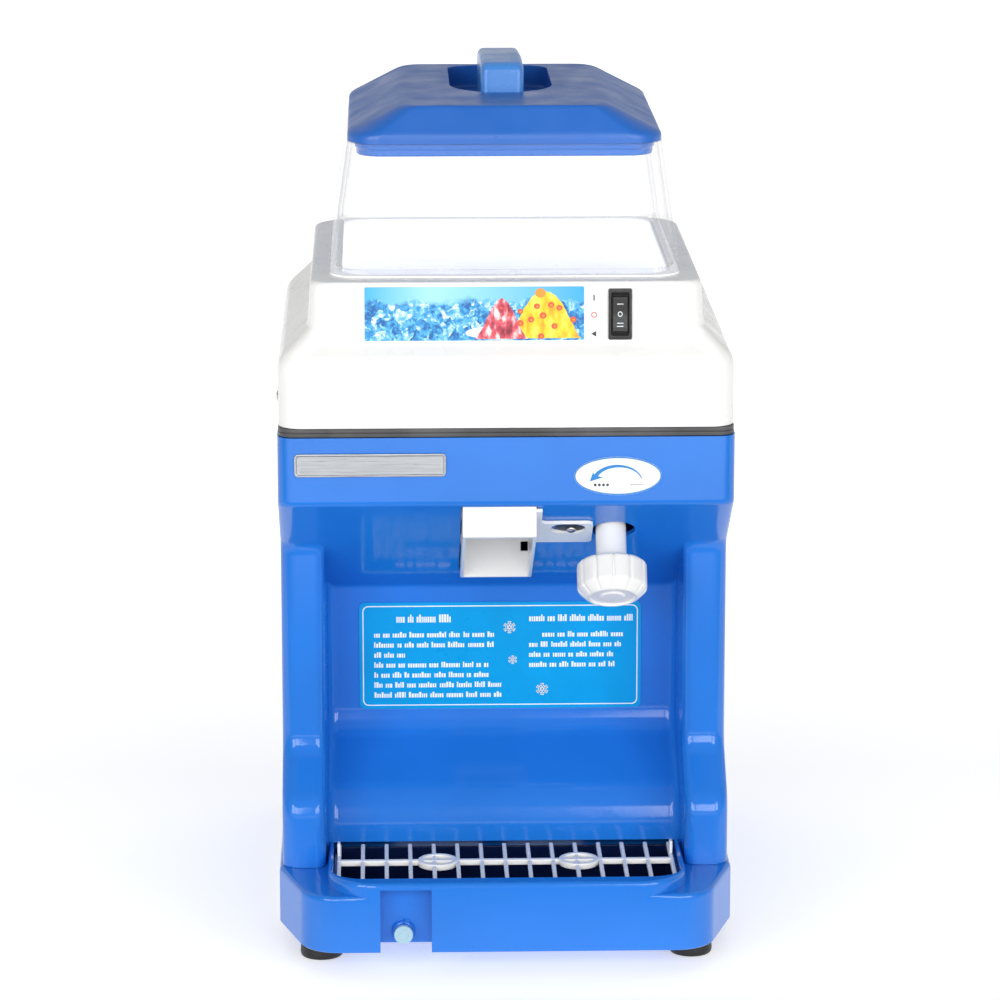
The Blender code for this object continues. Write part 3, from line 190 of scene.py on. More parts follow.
def box(low, high, matrix=UP):
    size = [b - a for a, b in zip(low, high)]
    middle = [(a + b) / 2 for a, b in zip(low, high)]
    at = Matrix.Translation(middle) @ Matrix.Diagonal((*size, 1))
    return mesh_from(lambda bm: bmesh.ops.create_cube(bm, size=1, matrix=at), matrix)


def slab(outline, low, high, matrix=UP, holes=()):
    """A flat outline, with any holes, between two local heights."""
    curve = bpy.data.curves.new("outline", "CURVE")
    curve.dimensions = "2D"
    curve.fill_mode = "BOTH"
    curve.extrude = (high - low) / 2
    for loop in (outline, *holes):
        spline = curve.splines.new("POLY")
        spline.points.add(len(loop) - 1)
        for point, (x, y) in zip(spline.points, loop):
            point.co = (x, y, 0, 1)
        spline.use_cyclic_u = True
    drawn = shown(bpy.data.objects.new("outline", curve))
    graph = bpy.context.evaluated_depsgraph_get()
    mesh = bpy.data.meshes.new_from_object(drawn.evaluated_get(graph))
    bpy.data.objects.remove(drawn)
    bm = bmesh.new()
    bm.from_mesh(mesh)
    bmesh.ops.remove_doubles(bm, verts=bm.verts, dist=0.000005)
    bmesh.ops.recalc_face_normals(bm, faces=bm.faces)
    at = matrix @ Matrix.Translation((0, 0, (low + high) / 2))
    bmesh.ops.transform(bm, matrix=at, verts=bm.verts)
    bm.to_mesh(mesh)
    bm.free()
    return mesh


def applied(mesh, add_modifiers):
    """The mesh after the modifiers that add_modifiers(obj) puts on it."""
    obj = shown(bpy.data.objects.new("work", mesh))
    helpers = add_modifiers(obj) or []
    graph = bpy.context.evaluated_depsgraph_get()
    result = bpy.data.meshes.new_from_object(obj.evaluated_get(graph))
    for used in (obj, *helpers):
        bpy.data.objects.remove(used)
    return result


def combined(mesh, operation, *tools):
    """The mesh after an exact Boolean with each tool."""

    def add(obj):
        helpers = []
        for tool in tools:
            helpers.append(shown(bpy.data.objects.new("tool", tool)))
            step = obj.modifiers.new("Boolean", "BOOLEAN")
            step.operation = operation
            step.solver = "EXACT"
            step.object = helpers[-1]
        return helpers

    return applied(mesh, add)


def add_bevel(obj, width, segments):
    step = obj.modifiers.new("Bevel", "BEVEL")
    step.width = width
    step.segments = segments
    step.limit_method = "ANGLE"
    step.angle_limit = SHARP


def bevelled(mesh, width, segments=3):
    return applied(mesh, lambda obj: add_bevel(obj, width, segments))


def joined(meshes):
    """Several closed shapes kept as one mesh."""
    bm = bmesh.new()
    for mesh in meshes:
        bm.from_mesh(mesh)
    mesh = bpy.data.meshes.new("joined")
    bm.to_mesh(mesh)
    bm.free()
    return mesh


def piece(name, mesh, finish, body, slot, *stands_for):
    """Shows a finished mesh as a piece that rides on a CAD body."""
    obj = shown(bpy.data.objects.new(name, mesh))
    mesh.materials.clear()
    mesh.materials.append(finish)
    mesh.shade_smooth()
    mesh.set_sharp_from_angle(angle=SHARP)
    step = obj.modifiers.new("Normals", "WEIGHTED_NORMAL")
    step.keep_sharp = True
    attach(obj, body)
    if stands_for:
        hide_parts(*stands_for)


def face_frame(y, x=0.0, z=0.0):
    """Local X and Y run along X and Z, and local Z comes out of the front."""
    at = FACE_ON.copy()
    at.translation = (x, y, z)
    return at


# ---------------------------------------------------------------- materials

FILM_ROUGH, FILM_WEAVE = 0.32, 0.00002  # of print and vinyl: its roughness and the height of its skin

class Graph:
    """Short names for the nodes of one material."""

    def __init__(self, name):
        self.material = bpy.data.materials.new(name)
        self.material.use_nodes = True
        self.tree = self.material.node_tree
        self.shader = self.tree.nodes["Principled BSDF"]
        self.place = self.add("ShaderNodeTexCoord").outputs["Object"]

    def add(self, kind, **settings):
        node = self.tree.nodes.new(kind)
        for key, value in settings.items():
            setattr(node, key, value)
        return node

    def link(self, source, target):
        if isinstance(source, bpy.types.NodeSocket):
            self.tree.links.new(source, target)
        else:
            target.default_value = source

    def stretched(self, scale):
        node = self.add("ShaderNodeMapping")
        self.link(self.place, node.inputs["Vector"])
        node.inputs["Scale"].default_value = scale
        return node.outputs["Vector"]

    def noise(self, scale, detail=2.0, stretch=None):
        node = self.add("ShaderNodeTexNoise")
        self.link(self.stretched(stretch) if stretch else self.place, node.inputs["Vector"])
        node.inputs["Scale"].default_value = scale
        node.inputs["Detail"].default_value = detail
        return node.outputs["Fac"]

    def ranged(self, value, low, high, start=0.3, end=0.7):
        node = self.add("ShaderNodeMapRange", clamp=True)
        self.link(value, node.inputs["Value"])
        for key, number in (("From Min", start), ("From Max", end), ("To Min", low), ("To Max", high)):
            node.inputs[key].default_value = number
        return node.outputs["Result"]

    def maths(self, operation, a, b):
        node = self.add("ShaderNodeMath", operation=operation)
        self.link(a, node.inputs[0])
        self.link(b, node.inputs[1])
        return node.outputs[0]

    def mixed(self, share, a, b):
        node = self.add("ShaderNodeMix", data_type="RGBA")
        self.link(share, node.inputs[0])
        self.link(a, node.inputs[6])
        self.link(b, node.inputs[7])
        return node.outputs[2]

    def ramp(self, value, stops):
        node = self.add("ShaderNodeValToRGB")
        self.link(value, node.inputs[0])
        band = node.color_ramp
        while len(band.elements) < len(stops):
            band.elements.new(0.5)
        for element, (place, colour) in zip(band.elements, stops):
            element.position = place
            element.color = (*colour, 1)
        return node.outputs["Color"]

    def bump(self, height, distance, below=None):
        node = self.add("ShaderNodeBump")
        self.link(height, node.inputs["Height"])
        node.inputs["Distance"].default_value = distance
        if below:
            self.link(below, node.inputs["Normal"])
        return node.outputs["Normal"]

    def finish(self, colour, roughness, normal=None, **others):
        inputs = self.shader.inputs
        self.link(colour, inputs["Base Color"])
        self.link(roughness, inputs["Roughness"])
        if normal:
            self.link(normal, inputs["Normal"])
        for key, value in others.items():
            self.link(value, inputs[key.replace("_", " ")])
        return self.material


def tinted(colour, factor):
    return (*(min(1.0, c * factor) for c in colour), 1)


def moulded(name, colour, rough, peel=0.00002, grain=0.0, spread=0.05, glow=0.0):
    """Injection-moulded plastic: faint flow clouds, a rippled skin, rubbed patches and fine hairlines."""
    g = Graph(name)
    clouds = g.ranged(g.noise(11.0, 3.0), 0.0, 1.0)
    base = g.mixed(clouds, tinted(colour, 1 - spread), tinted(colour, 1 + spread))
    hairs = g.noise(150.0, 4.0, (1.0, 6.0, 9.0))
    scuffs = g.ranged(hairs, 0.0, 1.0, 0.62, 0.80)
    base = g.mixed(g.maths("MULTIPLY", scuffs, 0.05), base, tinted(colour, 1.3))
    patches = g.ranged(g.noise(38.0, 4.0), rough * 0.75, rough * 1.3)
    roughness = g.maths("ADD", patches, g.maths("MULTIPLY", scuffs, 0.06))
    normal = g.bump(g.noise(260.0, 1.0), peel)
    if grain:
        normal = g.bump(g.noise(2600.0, 2.0), grain, normal)
    # glow is emission: painted light, for a part that must look brighter than the lamps make it.
    return g.finish(base, roughness, normal, Emission_Color=(1, 1, 1, 1), Emission_Strength=glow)


def brushed(name, colour, rough, along=(1.0, 60.0, 60.0), scale=40.0):
    """Metal with a drawn grain and a few dull spots."""
    g = Graph(name)
    grain = g.noise(scale, 5.0, along)
    spots = g.ranged(g.noise(90.0, 3.0), 0.0, 0.10, 0.55, 0.75)
    base = g.mixed(g.ranged(grain, 0.0, 1.0), tinted(colour, 0.82), tinted(colour, 1.1))
    roughness = g.maths("ADD", g.ranged(grain, rough * 0.7, rough * 1.35), spots)
    return g.finish(base, roughness, g.bump(grain, 0.00004), Metallic=1.0)


def rubber(name, colour, rough):
    """Matt elastomer with bloom and a pitted skin."""
    g = Graph(name)
    bloom = g.ranged(g.noise(24.0, 4.0), 0.0, 1.0, 0.35, 0.75)
    base = g.mixed(bloom, tinted(colour, 0.7), tinted(colour, 1.5))
    pits = g.noise(1500.0, 3.0)
    roughness = g.ranged(g.noise(70.0, 3.0), rough * 0.8, rough * 1.15)
    return g.finish(base, roughness, g.bump(pits, 0.00006))


def printed(name, colour, shine=0.5):
    """Ink or vinyl film with a faint weave and uneven gloss."""
    g = Graph(name)
    mottle = g.ranged(g.noise(30.0, 4.0), 0.0, 1.0)
    base = g.mixed(mottle, tinted(colour, 0.95), tinted(colour, 1.05))
    roughness = g.ranged(g.noise(110.0, 3.0), FILM_ROUGH * 0.85, FILM_ROUGH * 1.2)
    return g.finish(base, roughness, g.bump(g.noise(420.0, 2.0), FILM_WEAVE), Specular_IOR_Level=shine)


def acrylic(name, film, rim, shade):
    """Clear moulded sheet: a thin film face on, rising to a greyer rim where it turns edge on. The rim's grey
    is painted shade.
    """
    g = Graph(name)
    edge_on = g.add("ShaderNodeLayerWeight")
    edge_on.inputs["Blend"].default_value = 0.5
    turned_away = edge_on.outputs["Facing"]
    haze = g.ranged(g.noise(30.0, 4.0), 0.02, 0.05, 0.4, 0.8)
    painted_rim_shade = g.ranged(turned_away, 0.0, 1.0, 0.35, 0.80)
    colour = g.mixed(painted_rim_shade, (0.78, 0.785, 0.80, 1), (shade, shade, shade, 1))
    cover = g.ranged(g.maths("POWER", turned_away, 2.0), film, rim, 0.0, 1.0)
    return g.finish(colour, haze, g.bump(g.noise(22.0), 0.0002), Alpha=cover, Specular_IOR_Level=0.3)


def ice_picture():
    """The picture label: crushed ice under a pale blue haze."""
    g = Graph("picture_print")
    wander = g.add("ShaderNodeMix", data_type="VECTOR")
    wander.inputs[0].default_value = 0.012
    swirl = g.add("ShaderNodeTexNoise")
    g.link(g.place, swirl.inputs["Vector"])
    swirl.inputs["Scale"].default_value = 120.0
    g.link(g.place, wander.inputs[4])
    g.link(swirl.outputs["Color"], wander.inputs[5])
    shades = []
    for scale in (190.0, 520.0):
        cells = g.add("ShaderNodeTexVoronoi", feature="F1")
        g.link(wander.outputs[1], cells.inputs["Vector"])
        cells.inputs["Scale"].default_value = scale
        facets = g.add("ShaderNodeSeparateColor")
        g.link(cells.outputs["Color"], facets.inputs[0])
        shades.append(facets.outputs[0])
    veins = g.noise(260.0, 5.0)
    lit = g.maths("ADD", g.maths("MULTIPLY", shades[0], 0.34), g.maths("MULTIPLY", shades[1], 0.24))
    lit = g.maths("ADD", lit, g.maths("MULTIPLY", veins, 0.50))
    chunks = g.ramp(
        lit,
        [
            (0.34, (0.008, 0.110, 0.380)),
            (0.50, (0.025, 0.300, 0.660)),
            (0.64, (0.130, 0.520, 0.840)),
            (0.80, (0.800, 0.920, 0.980)),
        ],
    )
    parts = g.add("ShaderNodeSeparateXYZ")
    g.link(g.place, parts.inputs[0])
    edge = g.maths("ADD", parts.outputs["Z"], g.maths("MULTIPLY", g.noise(70.0, 3.0), 0.016))
    sky = g.ranged(edge, 0.0, 1.0, 0.4965, 0.5000)
    haze = g.ramp(
        g.ranged(parts.outputs["X"], 0.0, 1.0, -0.102, 0.056),
        [(0.0, (0.045, 0.430, 0.780)), (0.30, (0.360, 0.740, 0.880)), (1.0, (0.030, 0.380, 0.740))],
    )
    return g.finish(g.mixed(sky, chunks, haze), 0.30, g.bump(g.noise(420.0, 2.0), FILM_WEAVE))


def syrup(name, dark, middle, light, scale=170.0):
    """A printed heap of shaved ice with syrup running through it."""
    g = Graph(name)
    runs = g.noise(scale, 6.0, (1.0, 1.0, 0.45))
    colour = g.ramp(runs, [(0.34, dark), (0.50, middle), (0.64, light)])
    return g.finish(colour, FILM_ROUGH, g.bump(runs, FILM_WEAVE))


BLUE = moulded("gloss_blue", (0.014, 0.175, 0.660), 0.11)
LID_BLUE = moulded("satin_blue", (0.014, 0.122, 0.480), 0.36, peel=0.000004)
# The handle is the lid's plastic made lighter: painted light where its front catches more of the lamps.
HANDLE_LIT_BLUE = moulded("handle_blue_painted_light", (0.060, 0.240, 0.640), 0.26, peel=0.000004)
SKIRT_BLUE = moulded("skirt_blue", (0.030, 0.170, 0.600), 0.16, peel=0.00008)
# Near-black navy for the basin's inner faces: painted shade under the grid, on the same blue plastic as its
# outside.
BASIN_PAINTED_SHADE = moulded("basin_painted_shade", (0.004, 0.012, 0.060), 0.20)
WHITE = moulded("cover_white", (0.860, 0.858, 0.848), 0.24, spread=0.010)
# The funnel's white glows: painted light that brightens the inside of the hopper, which the lamps reach too
# little.
PAN_WHITE_GLOWING = moulded("pan_white_painted_glow", (0.930, 0.930, 0.920), 0.30, spread=0.008, glow=0.30)
CHUTE_WHITE = moulded("chute_white", (0.830, 0.830, 0.815), 0.20, spread=0.012)
GRID_WHITE = moulded("grid_white", (0.900, 0.900, 0.885), 0.28, spread=0.02)
BLACK = moulded("switch_black", (0.012, 0.012, 0.013), 0.26, grain=0.00001)
PLUG_GREY = moulded("plug_pale_blue", (0.360, 0.540, 0.640), 0.30)
# Two copies of one clear sheet: the corner copy is greyer and more opaque, as painted shade along its edges.
CLEAR = acrylic("clear_acrylic_sheet", 0.032, 0.22, 0.55)
CLEAR_EDGE_SHADED = acrylic("clear_acrylic_corner_painted_shade", 0.04, 0.60, 0.34)
SEAL = rubber("seal_grey", (0.075, 0.075, 0.078), 0.45)
FOOT_BLACK = rubber("foot_black", (0.010, 0.010, 0.010), 0.40)
BELT_BLACK = rubber("belt_black", (0.014, 0.014, 0.014), 0.60)
SHEET_STEEL = brushed("sheet_steel", (0.560, 0.565, 0.570), 0.30)
BRIGHT_STEEL = brushed("bright_steel", (0.640, 0.640, 0.645), 0.18, (8.0, 8.0, 8.0), 60.0)
BADGE_METAL = brushed("badge_metal", (0.470, 0.485, 0.510), 0.36, (1.0, 40.0, 40.0), 50.0)
CAST_GREY = rubber("motor_grey", (0.090, 0.095, 0.100), 0.50)
LABEL_CYAN = printed("label_cyan", (0.000, 0.330, 0.720), shine=0.15)
LABEL_WHITE = printed("label_white", (0.820, 0.830, 0.840))
INK_WHITE = printed("ink_white", (0.860, 0.900, 0.930))
INK_BLUE = printed("ink_blue", (0.010, 0.220, 0.600))
INK_DARK = printed("ink_dark", (0.030, 0.032, 0.040))
INK_RED = printed("ink_red", (0.750, 0.080, 0.030))
INK_ORANGE = printed("ink_orange", (0.900, 0.300, 0.030))
PICTURE = ice_picture()
RED_ICE = syrup("red_ice_print", (0.240, 0.010, 0.030), (0.740, 0.090, 0.140), (0.980, 0.860, 0.850), 230.0)
YELLOW_ICE = syrup("yellow_ice_print", (0.900, 0.360, 0.005), (0.990, 0.620, 0.008), (1.000, 0.800, 0.100))
PLATE_PRINT = syrup("plate_print", (0.620, 0.640, 0.700), (0.820, 0.820, 0.840), (0.940, 0.930, 0.920))


# ---------------------------------------------------------------- base and drip tray

BASE_LOW, BASE_TOP = 0.017, 0.060
BASE_HALF_X, BASE_FRONT, BASE_BACK = 0.1685, -0.2195, 0.220
BASE_FRONT_HALF_X, BASE_TAPER_Y = 0.1455, -0.145
RIM_TOP, RIM_HALF_X, RIM_FRONT = 0.070, 0.1318, -0.220
WELL = (0.128, -0.205, -0.100)  # half width, front, back
WELL_CORNER, WELL_LIP = 0.022, 0.0022
NOTCH_LEFT, NOTCH_RIGHT, NOTCH_TOP = -0.0935, -0.056, 0.065
BASIN_LOW, BASIN_WALL = 0.0198, 0.0025
DRAIN = (-0.0766, 0.0292)
STUB_END, STUB_RADIUS, STUB_BORE = 0.2115, 0.0070, 0.0048
GRID_Z, GRID_BAR, GRID_HALF_BAR = 0.0612, 0.004, 0.0015
GRID_HALF_X, GRID_BARS = 0.1255, 15
GRID_FRONT, GRID_MIDDLE, GRID_BACK = -0.2040, -0.1480, -0.1075
GRID_RINGS = (-0.0505, 0.0545)
FOOT_SPOTS = {
    "left_front": (-0.137, -0.170),
    "left_back": (-0.137, 0.180),
    "right_front": (0.137, -0.170),
    "right_back": (0.137, 0.180),
}


def base_outline(inset=0.0):
    half_x, front, back = BASE_HALF_X - inset, BASE_FRONT + inset, BASE_BACK - inset
    right = [
        (BASE_FRONT_HALF_X - inset * 0.7, front, 0.030),
        (half_x, BASE_TAPER_Y, 0.015),
        (half_x, back, 0.030),
    ]
    left = [(-x, y, radius) for x, y, radius in reversed(right)]
    return rounded(right + left)


def build_base():
    low, top = BASE_LOW, BASE_TOP
    rings = [
        raised(base_outline(0.0008), low),
        raised(base_outline(), low + 0.0008),
        raised(base_outline(), top),
        raised(base_outline(0.007), top),
    ]
    shell = loft(softened(rings, (0, 0, 0.0045, 0)), capped=True)
    rim_back, edge = WELL[2] + 0.012, 0.007
    rim_rings = [
        plan_ring(RIM_HALF_X, RIM_FRONT, rim_back, 0.036, top - 0.010, 0.010),
        plan_ring(RIM_HALF_X, RIM_FRONT, rim_back, 0.036, RIM_TOP, 0.010),
        plan_ring(RIM_HALF_X - edge, RIM_FRONT + edge, rim_back - 0.006, 0.029, RIM_TOP, 0.006),
    ]
    rim = loft(softened(rim_rings, (0, 0.0042, 0)), capped=True)
    rim = combined(rim, "DIFFERENCE", box((-0.2, -0.1145, 0.0598), (0.2, 0, RIM_TOP + 0.01)))
    shell = combined(shell, "UNION", rim)
    hollow = [raised(base_outline(WALL), low - 0.01), raised(base_outline(WALL), top - WALL)]
    shell = combined(shell, "DIFFERENCE", loft(hollow, capped=True))
    inside_top = top - WALL + 0.001
    notch_back = WELL[1] + 0.0005
    notch_walls = (NOTCH_LEFT - WALL, -0.2185, low), (NOTCH_RIGHT + WALL, notch_back + WALL, inside_top)
    bosses = [box(*notch_walls)]
    for x, y in FOOT_SPOTS.values():
        boss = turned([(0.016, low), (0.016, inside_top)], matrix=Matrix.Translation((x, y, 0)))
        bosses.append(boss)
    shell = combined(shell, "UNION", *bosses)
    flared = WELL_CORNER + WELL_LIP
    well_rings = [
        inset_ring(WELL, 0, WELL_CORNER, low - 0.01, 0.006),
        inset_ring(WELL, 0, WELL_CORNER, RIM_TOP - WELL_LIP, 0.006),
        inset_ring(WELL, -WELL_LIP, flared, RIM_TOP + 0.0001, 0.008),
        inset_ring(WELL, -WELL_LIP, flared, RIM_TOP + 0.004, 0.008),
    ]
    well = loft(softened(well_rings, (0, 0.0012, 0, 0), 3), capped=True)
    notch = box((NOTCH_LEFT, -0.23, low - 0.01), (NOTCH_RIGHT, notch_back + 0.01, NOTCH_TOP))
    rear_hole = box((-0.09, 0.0, top - 0.02), (0.09, 0.150, top + 0.02))
    shell = combined(shell, "DIFFERENCE", well, notch, rear_hole)
    piece("base_moulding", shell, BLUE, "machine", "blue_plastic", "base_shell")


def build_basin():
    plan = (WELL[0] - GAP, WELL[1] + GAP, WELL[2] - GAP)
    half_x, front, back = plan
    low, top = BASIN_LOW, GRID_Z - GAP
    floor = low + BASIN_WALL
    rings = [
        inset_ring(plan, 0.003, 0.019, low, 0.003),
        inset_ring(plan, 0, 0.0217, low, 0.0057),
        inset_ring(plan, 0, 0.0217, top, 0.0057),
        inset_ring(plan, BASIN_WALL, 0.0192, top, 0.0035),
        inset_ring(plan, BASIN_WALL, 0.0192, floor, 0.0035),
        inset_ring(plan, 0.0070, 0.015, floor, 0.002),
    ]
    pan = loft(softened(rings, (0, 0.0025, 0.0005, 0.0005, 0.004, 0), 4), capped=True)
    x, z = DRAIN
    at = face_frame(0, x, z)
    root = -front
    collar = turned([(0.0085, root - 0.001), (0.0085, root + 0.0025), (0.0078, root + 0.0031)], matrix=at)
    tip = [(STUB_RADIUS, STUB_END - 0.0004), (STUB_RADIUS - 0.0004, STUB_END)]
    stub = turned([(STUB_RADIUS, root - 0.001), *tip], matrix=at)
    pan = combined(pan, "UNION", collar, stub)
    pan = combined(pan, "DIFFERENCE", turned([(STUB_BORE, root - 0.02), (STUB_BORE, 0.22)], matrix=at))
    piece("basin_pan", pan, BLUE, "machine", "blue_plastic", "drip_basin")
    # The faces inside the basin take the painted shade; its outside keeps the gloss blue.
    pan.materials.append(BASIN_PAINTED_SHADE)
    for face in pan.polygons:
        spot = face.center
        inside = abs(spot.x) < half_x - 0.001 and front + 0.001 < spot.y < back - 0.001
        face.material_index = int(inside and spot.z > low + 0.001)
    bead = [
        (0.0071, root + 0.0032), (0.0084, root + 0.0032),
        (0.0078, root + 0.0042), (0.0071, root + 0.0044),
    ]
    piece("drain_collar", loft(turned_rings(bead), matrix=at), BLUE, "machine", "blue_plastic")
    seat = STUB_END + GAP
    cap = [
        (0.0030, seat - 0.009), (0.0042, seat - 0.009), (0.0045, seat), (0.0070, seat),
        (0.0070, seat + 0.0035), (0.0040, seat + 0.0035), (0.0036, seat + 0.0031), (0.0010, seat + 0.0031),
    ]
    plug = turned(cap, (0, 0.0006, 0, 0.0003, 0.0010, 0.0003, 0.0003, 0), at)
    piece("drain_cap", plug, PLUG_GREY, "plug", "grey_plastic", "drain_plug")


def bar(x0, y0, x1, y1, z0, z1):
    """A square rod with softly rounded edges."""
    return bevelled(box((x0, y0, z0), (x1, y1, z1)), 0.0007)


def build_grid():
    """One long bar, the cross bars, two rings that a cup stands on and a tab at each end to lift it by."""
    middle, half_x, half_bar = GRID_MIDDLE, GRID_HALF_X, GRID_HALF_BAR
    z0, z1 = GRID_Z, GRID_Z + GRID_BAR
    pitch = 2 * (half_x - half_bar) / (GRID_BARS - 1)
    shapes = []
    for k in range(GRID_BARS):
        x = -half_x + half_bar + pitch * k
        into_corner = max(0.0, abs(x) + half_bar - (WELL[0] - WELL_CORNER))
        front = GRID_FRONT + WELL_CORNER - math.sqrt(WELL_CORNER**2 - into_corner**2)
        shapes.append(bar(x - half_bar, front, x + half_bar, GRID_BACK, z0, z1 - 0.0002))
    long_bar = bar(-half_x, middle - 0.0022, half_x, middle + 0.0022, z0 - 0.0001, z1 + 0.0001)
    inner, outer, low, high = 0.0110, 0.0150, z0 - 0.0002, z1 + 0.0004
    for x in GRID_RINGS:
        ring = [(inner, low), (outer, low), (outer, high), (inner, high)]
        rings = softened(turned_rings(ring, 64), (0.0011,) * 4, 4)
        shapes.append(loft(rings, matrix=Matrix.Translation((x, middle, 0))))
    for side in (-1, 1):
        x = side * (half_x - 0.0013)
        tab = box((x - 0.0012, middle + 0.012, z0 + 0.001), (x + 0.0012, middle + 0.019, z0 + 0.013))
        shapes.append(bevelled(tab, 0.0009))
    grid = combined(long_bar, "UNION", *shapes)
    piece("grid_moulding", grid, GRID_WHITE, "grid", "white_plastic", "drip_grid")


def build_feet():
    profile = [
        (0.003, 0.0167), (0.0135, 0.0167), (0.0148, 0.0150), (0.0153, 0.0108), (0.0145, 0.0103),
        (0.0146, 0.0090), (0.0155, 0.0085), (0.0160, 0.0030), (0.0152, 0.0), (0.0100, 0.0),
        (0.0094, 0.0012), (0.003, 0.0012),
    ]
    reaches = (0, 0.0004, 0.0008, 0.0003, 0.0003, 0.0003, 0.0003, 0.0010, 0.0010, 0.0003, 0.0003, 0)
    for name, (x, y) in FOOT_SPOTS.items():
        foot = turned(profile, reaches, Matrix.Translation((x, y, 0)), 56)
        piece(f"foot_{name}", foot, FOOT_BLACK, "machine", "dark_rubber", f"{name}_foot")


# ---------------------------------------------------------------- body


def underside_z(y):
    return HOOD_LOW - (y - BODY_FRONT) * math.tan(TILT)


def underside_frame(x, y):
    """Local Z points out of the hood's underside, local X along X."""
    out = Vector((0, -math.sin(TILT), -math.cos(TILT)))
    across = Vector((1, 0, 0))
    at = Matrix((across, out.cross(across), out)).transposed().to_4x4()
    at.translation = (x, y, underside_z(y))
    return at


def moved_in(corners, distance):
    """The same open profile moved towards +Y by a wall's thickness, its ends kept at their heights."""
    moved = []
    for i, (y, z, radius) in enumerate(corners):
        here = Vector((y, z))
        if i in (0, len(corners) - 1):
            moved.append((y + distance, z, radius))
            continue
        before = (here - Vector(corners[i - 1][:2])).normalized()
        after = (Vector(corners[i + 1][:2]) - here).normalized()
        inward = Vector((-before.y - after.y, before.x + after.x)).normalized()
        reach = distance / inward.dot(Vector((-before.y, before.x)))
        moved.append((*(here + inward * reach), radius))
    return moved


def body_ring(column, recess, inset):
    """One ring round the body: the recess wall, one column's front, the side and the back, then mirrored."""
    column_y, column_z = column
    recess_y, recess_z = recess
    deep = max(recess_y - column_y, 0.0)
    edge = RECESS_EDGE
    turn_y = min(edge, deep * 0.4)
    inner_x, outer_x, back = RECESS_HALF_X + inset, BODY_HALF_X - inset, BODY_BACK - inset
    far, near = BODY_BACK_CORNER - inset, BODY_CORNER - inset * 0.5
    draft = 0.0006

    def between(x, y):
        share = (y - column_y) / deep if deep > 1e-6 else 0
        return Vector((x, y, column_z + (recess_z - column_z) * share))

    half = [Vector((0, recess_y, recess_z))]
    angles = [math.pi / 2 * k / ARC for k in range(ARC + 1)]
    turns = [(1 - math.sin(a), 1 - math.cos(a)) for a in angles]
    for s, c in turns:
        half.append(between(inner_x - draft - edge * s, recess_y - turn_y * c))
    for s, c in turns:
        half.append(between(inner_x + draft + edge * c, column_y + turn_y * s))
    for s, c in turns:
        half.append(Vector((outer_x - near * s, column_y + near * c, column_z)))
    for s, c in turns:
        half.append(Vector((outer_x - far * c, back - far * s, column_z)))
    half.append(Vector((0, back, column_z)))
    return half + [Vector((-p.x, p.y, p.z)) for p in reversed(half[1:-1])]


def body_rings(inset):
    hood = [(BODY_FRONT, BODY_TOP, 0), (BODY_FRONT, HOOD_LOW, 0.006)]
    column = [
        *hood, (COLUMN_Y, underside_z(COLUMN_Y), 0.014), (COLUMN_Y, 0.142, 0.024),
        (COLUMN_FOOT_Y, 0.108, 0.024), (COLUMN_FOOT_Y, BASE_TOP + GAP, 0),
    ]
    recess = [
        *hood, (RECESS_WALL_Y, underside_z(RECESS_WALL_Y), 0.006), (RECESS_WALL_Y, 0.140, 0.028),
        (RECESS_FOOT_Y, 0.097, 0.042), (RECESS_FOOT_Y, RECESS_FOOT_LOW, 0),
    ]
    columns = rounded(moved_in(column, inset), closed=False)
    recesses = rounded(moved_in(recess, inset), closed=False)
    return [body_ring(a, b, inset) for a, b in zip(columns, recesses)]


KNOB_X, KNOB_Y = 0.0777, -0.134
SCREW_SPOT = (0.0485, -0.1375)
CHUTE = (-0.032, 0.022, -0.1713, -0.0665)  # left, right, front, back
PANEL = (-0.108, 0.122, 0.108, 0.338)  # left, low, right, high
PANEL_SCREW_IN = 0.004
INLET = (-0.085, 0.092)


def build_body():
    shell = loft(body_rings(0.0) + list(reversed(body_rings(WALL))))
    hole_at = underside_frame(KNOB_X + 0.002, KNOB_Y)
    screw_at = underside_frame(*SCREW_SPOT)
    left, low, right, high = PANEL
    x, z = INLET
    duct_left, duct_right, duct_front, duct_back = CHUTE
    inner, outer, lip = BODY_BACK - 0.008, BODY_BACK + 0.004, 0.008
    cuts = [
        box((duct_left - 0.001, duct_front - 0.0005, 0.24), (duct_right + 0.001, duct_back + 0.001, 0.36)),
        turned([(0.016, -0.012), (0.016, 0.006)], matrix=hole_at),
        turned([(0.0026, -0.012), (0.0026, 0.006)], matrix=screw_at),
        box((left + lip, inner, low + lip), (right - lip, outer, high - lip)),
        box((x - 0.0143, inner, z - 0.0103), (x + 0.0143, outer, z + 0.0103)),
    ]
    shell = combined(shell, "DIFFERENCE", *cuts)
    piece("body_moulding", shell, BLUE, "machine", "blue_plastic", "body_shell")


def panel_corners():
    """The screws' places, each with the names of its side and level."""
    left, low, right, high = PANEL
    inwards = PANEL_SCREW_IN
    for side, x in (("left", left + inwards), ("right", right - inwards)):
        for level, z in (("low", low + inwards), ("high", high - inwards)):
            yield side, level, x, z


def build_back_panel():
    left, low, right, high = PANEL
    slots = []
    for side in (-1, 1):
        for row in range(9):
            slots.append(rectangle(0.036, 0.003, 0.0029, side * 0.046, low + 0.030 + 0.0195 * row, 5))
    slots += [dot(0.0019, x, z, 20) for _, _, x, z in panel_corners()]
    middle_x, middle_z = (left + right) / 2, (low + high) / 2
    outline = rectangle((right - left) / 2, (high - low) / 2, 0.008, middle_x, middle_z)
    panel = slab(outline, -GAP - 0.002, -GAP, face_frame(BODY_BACK), slots)
    piece("rear_panel", bevelled(panel, 0.0004, 2), BLUE, "machine", "blue_plastic", "back_panel")


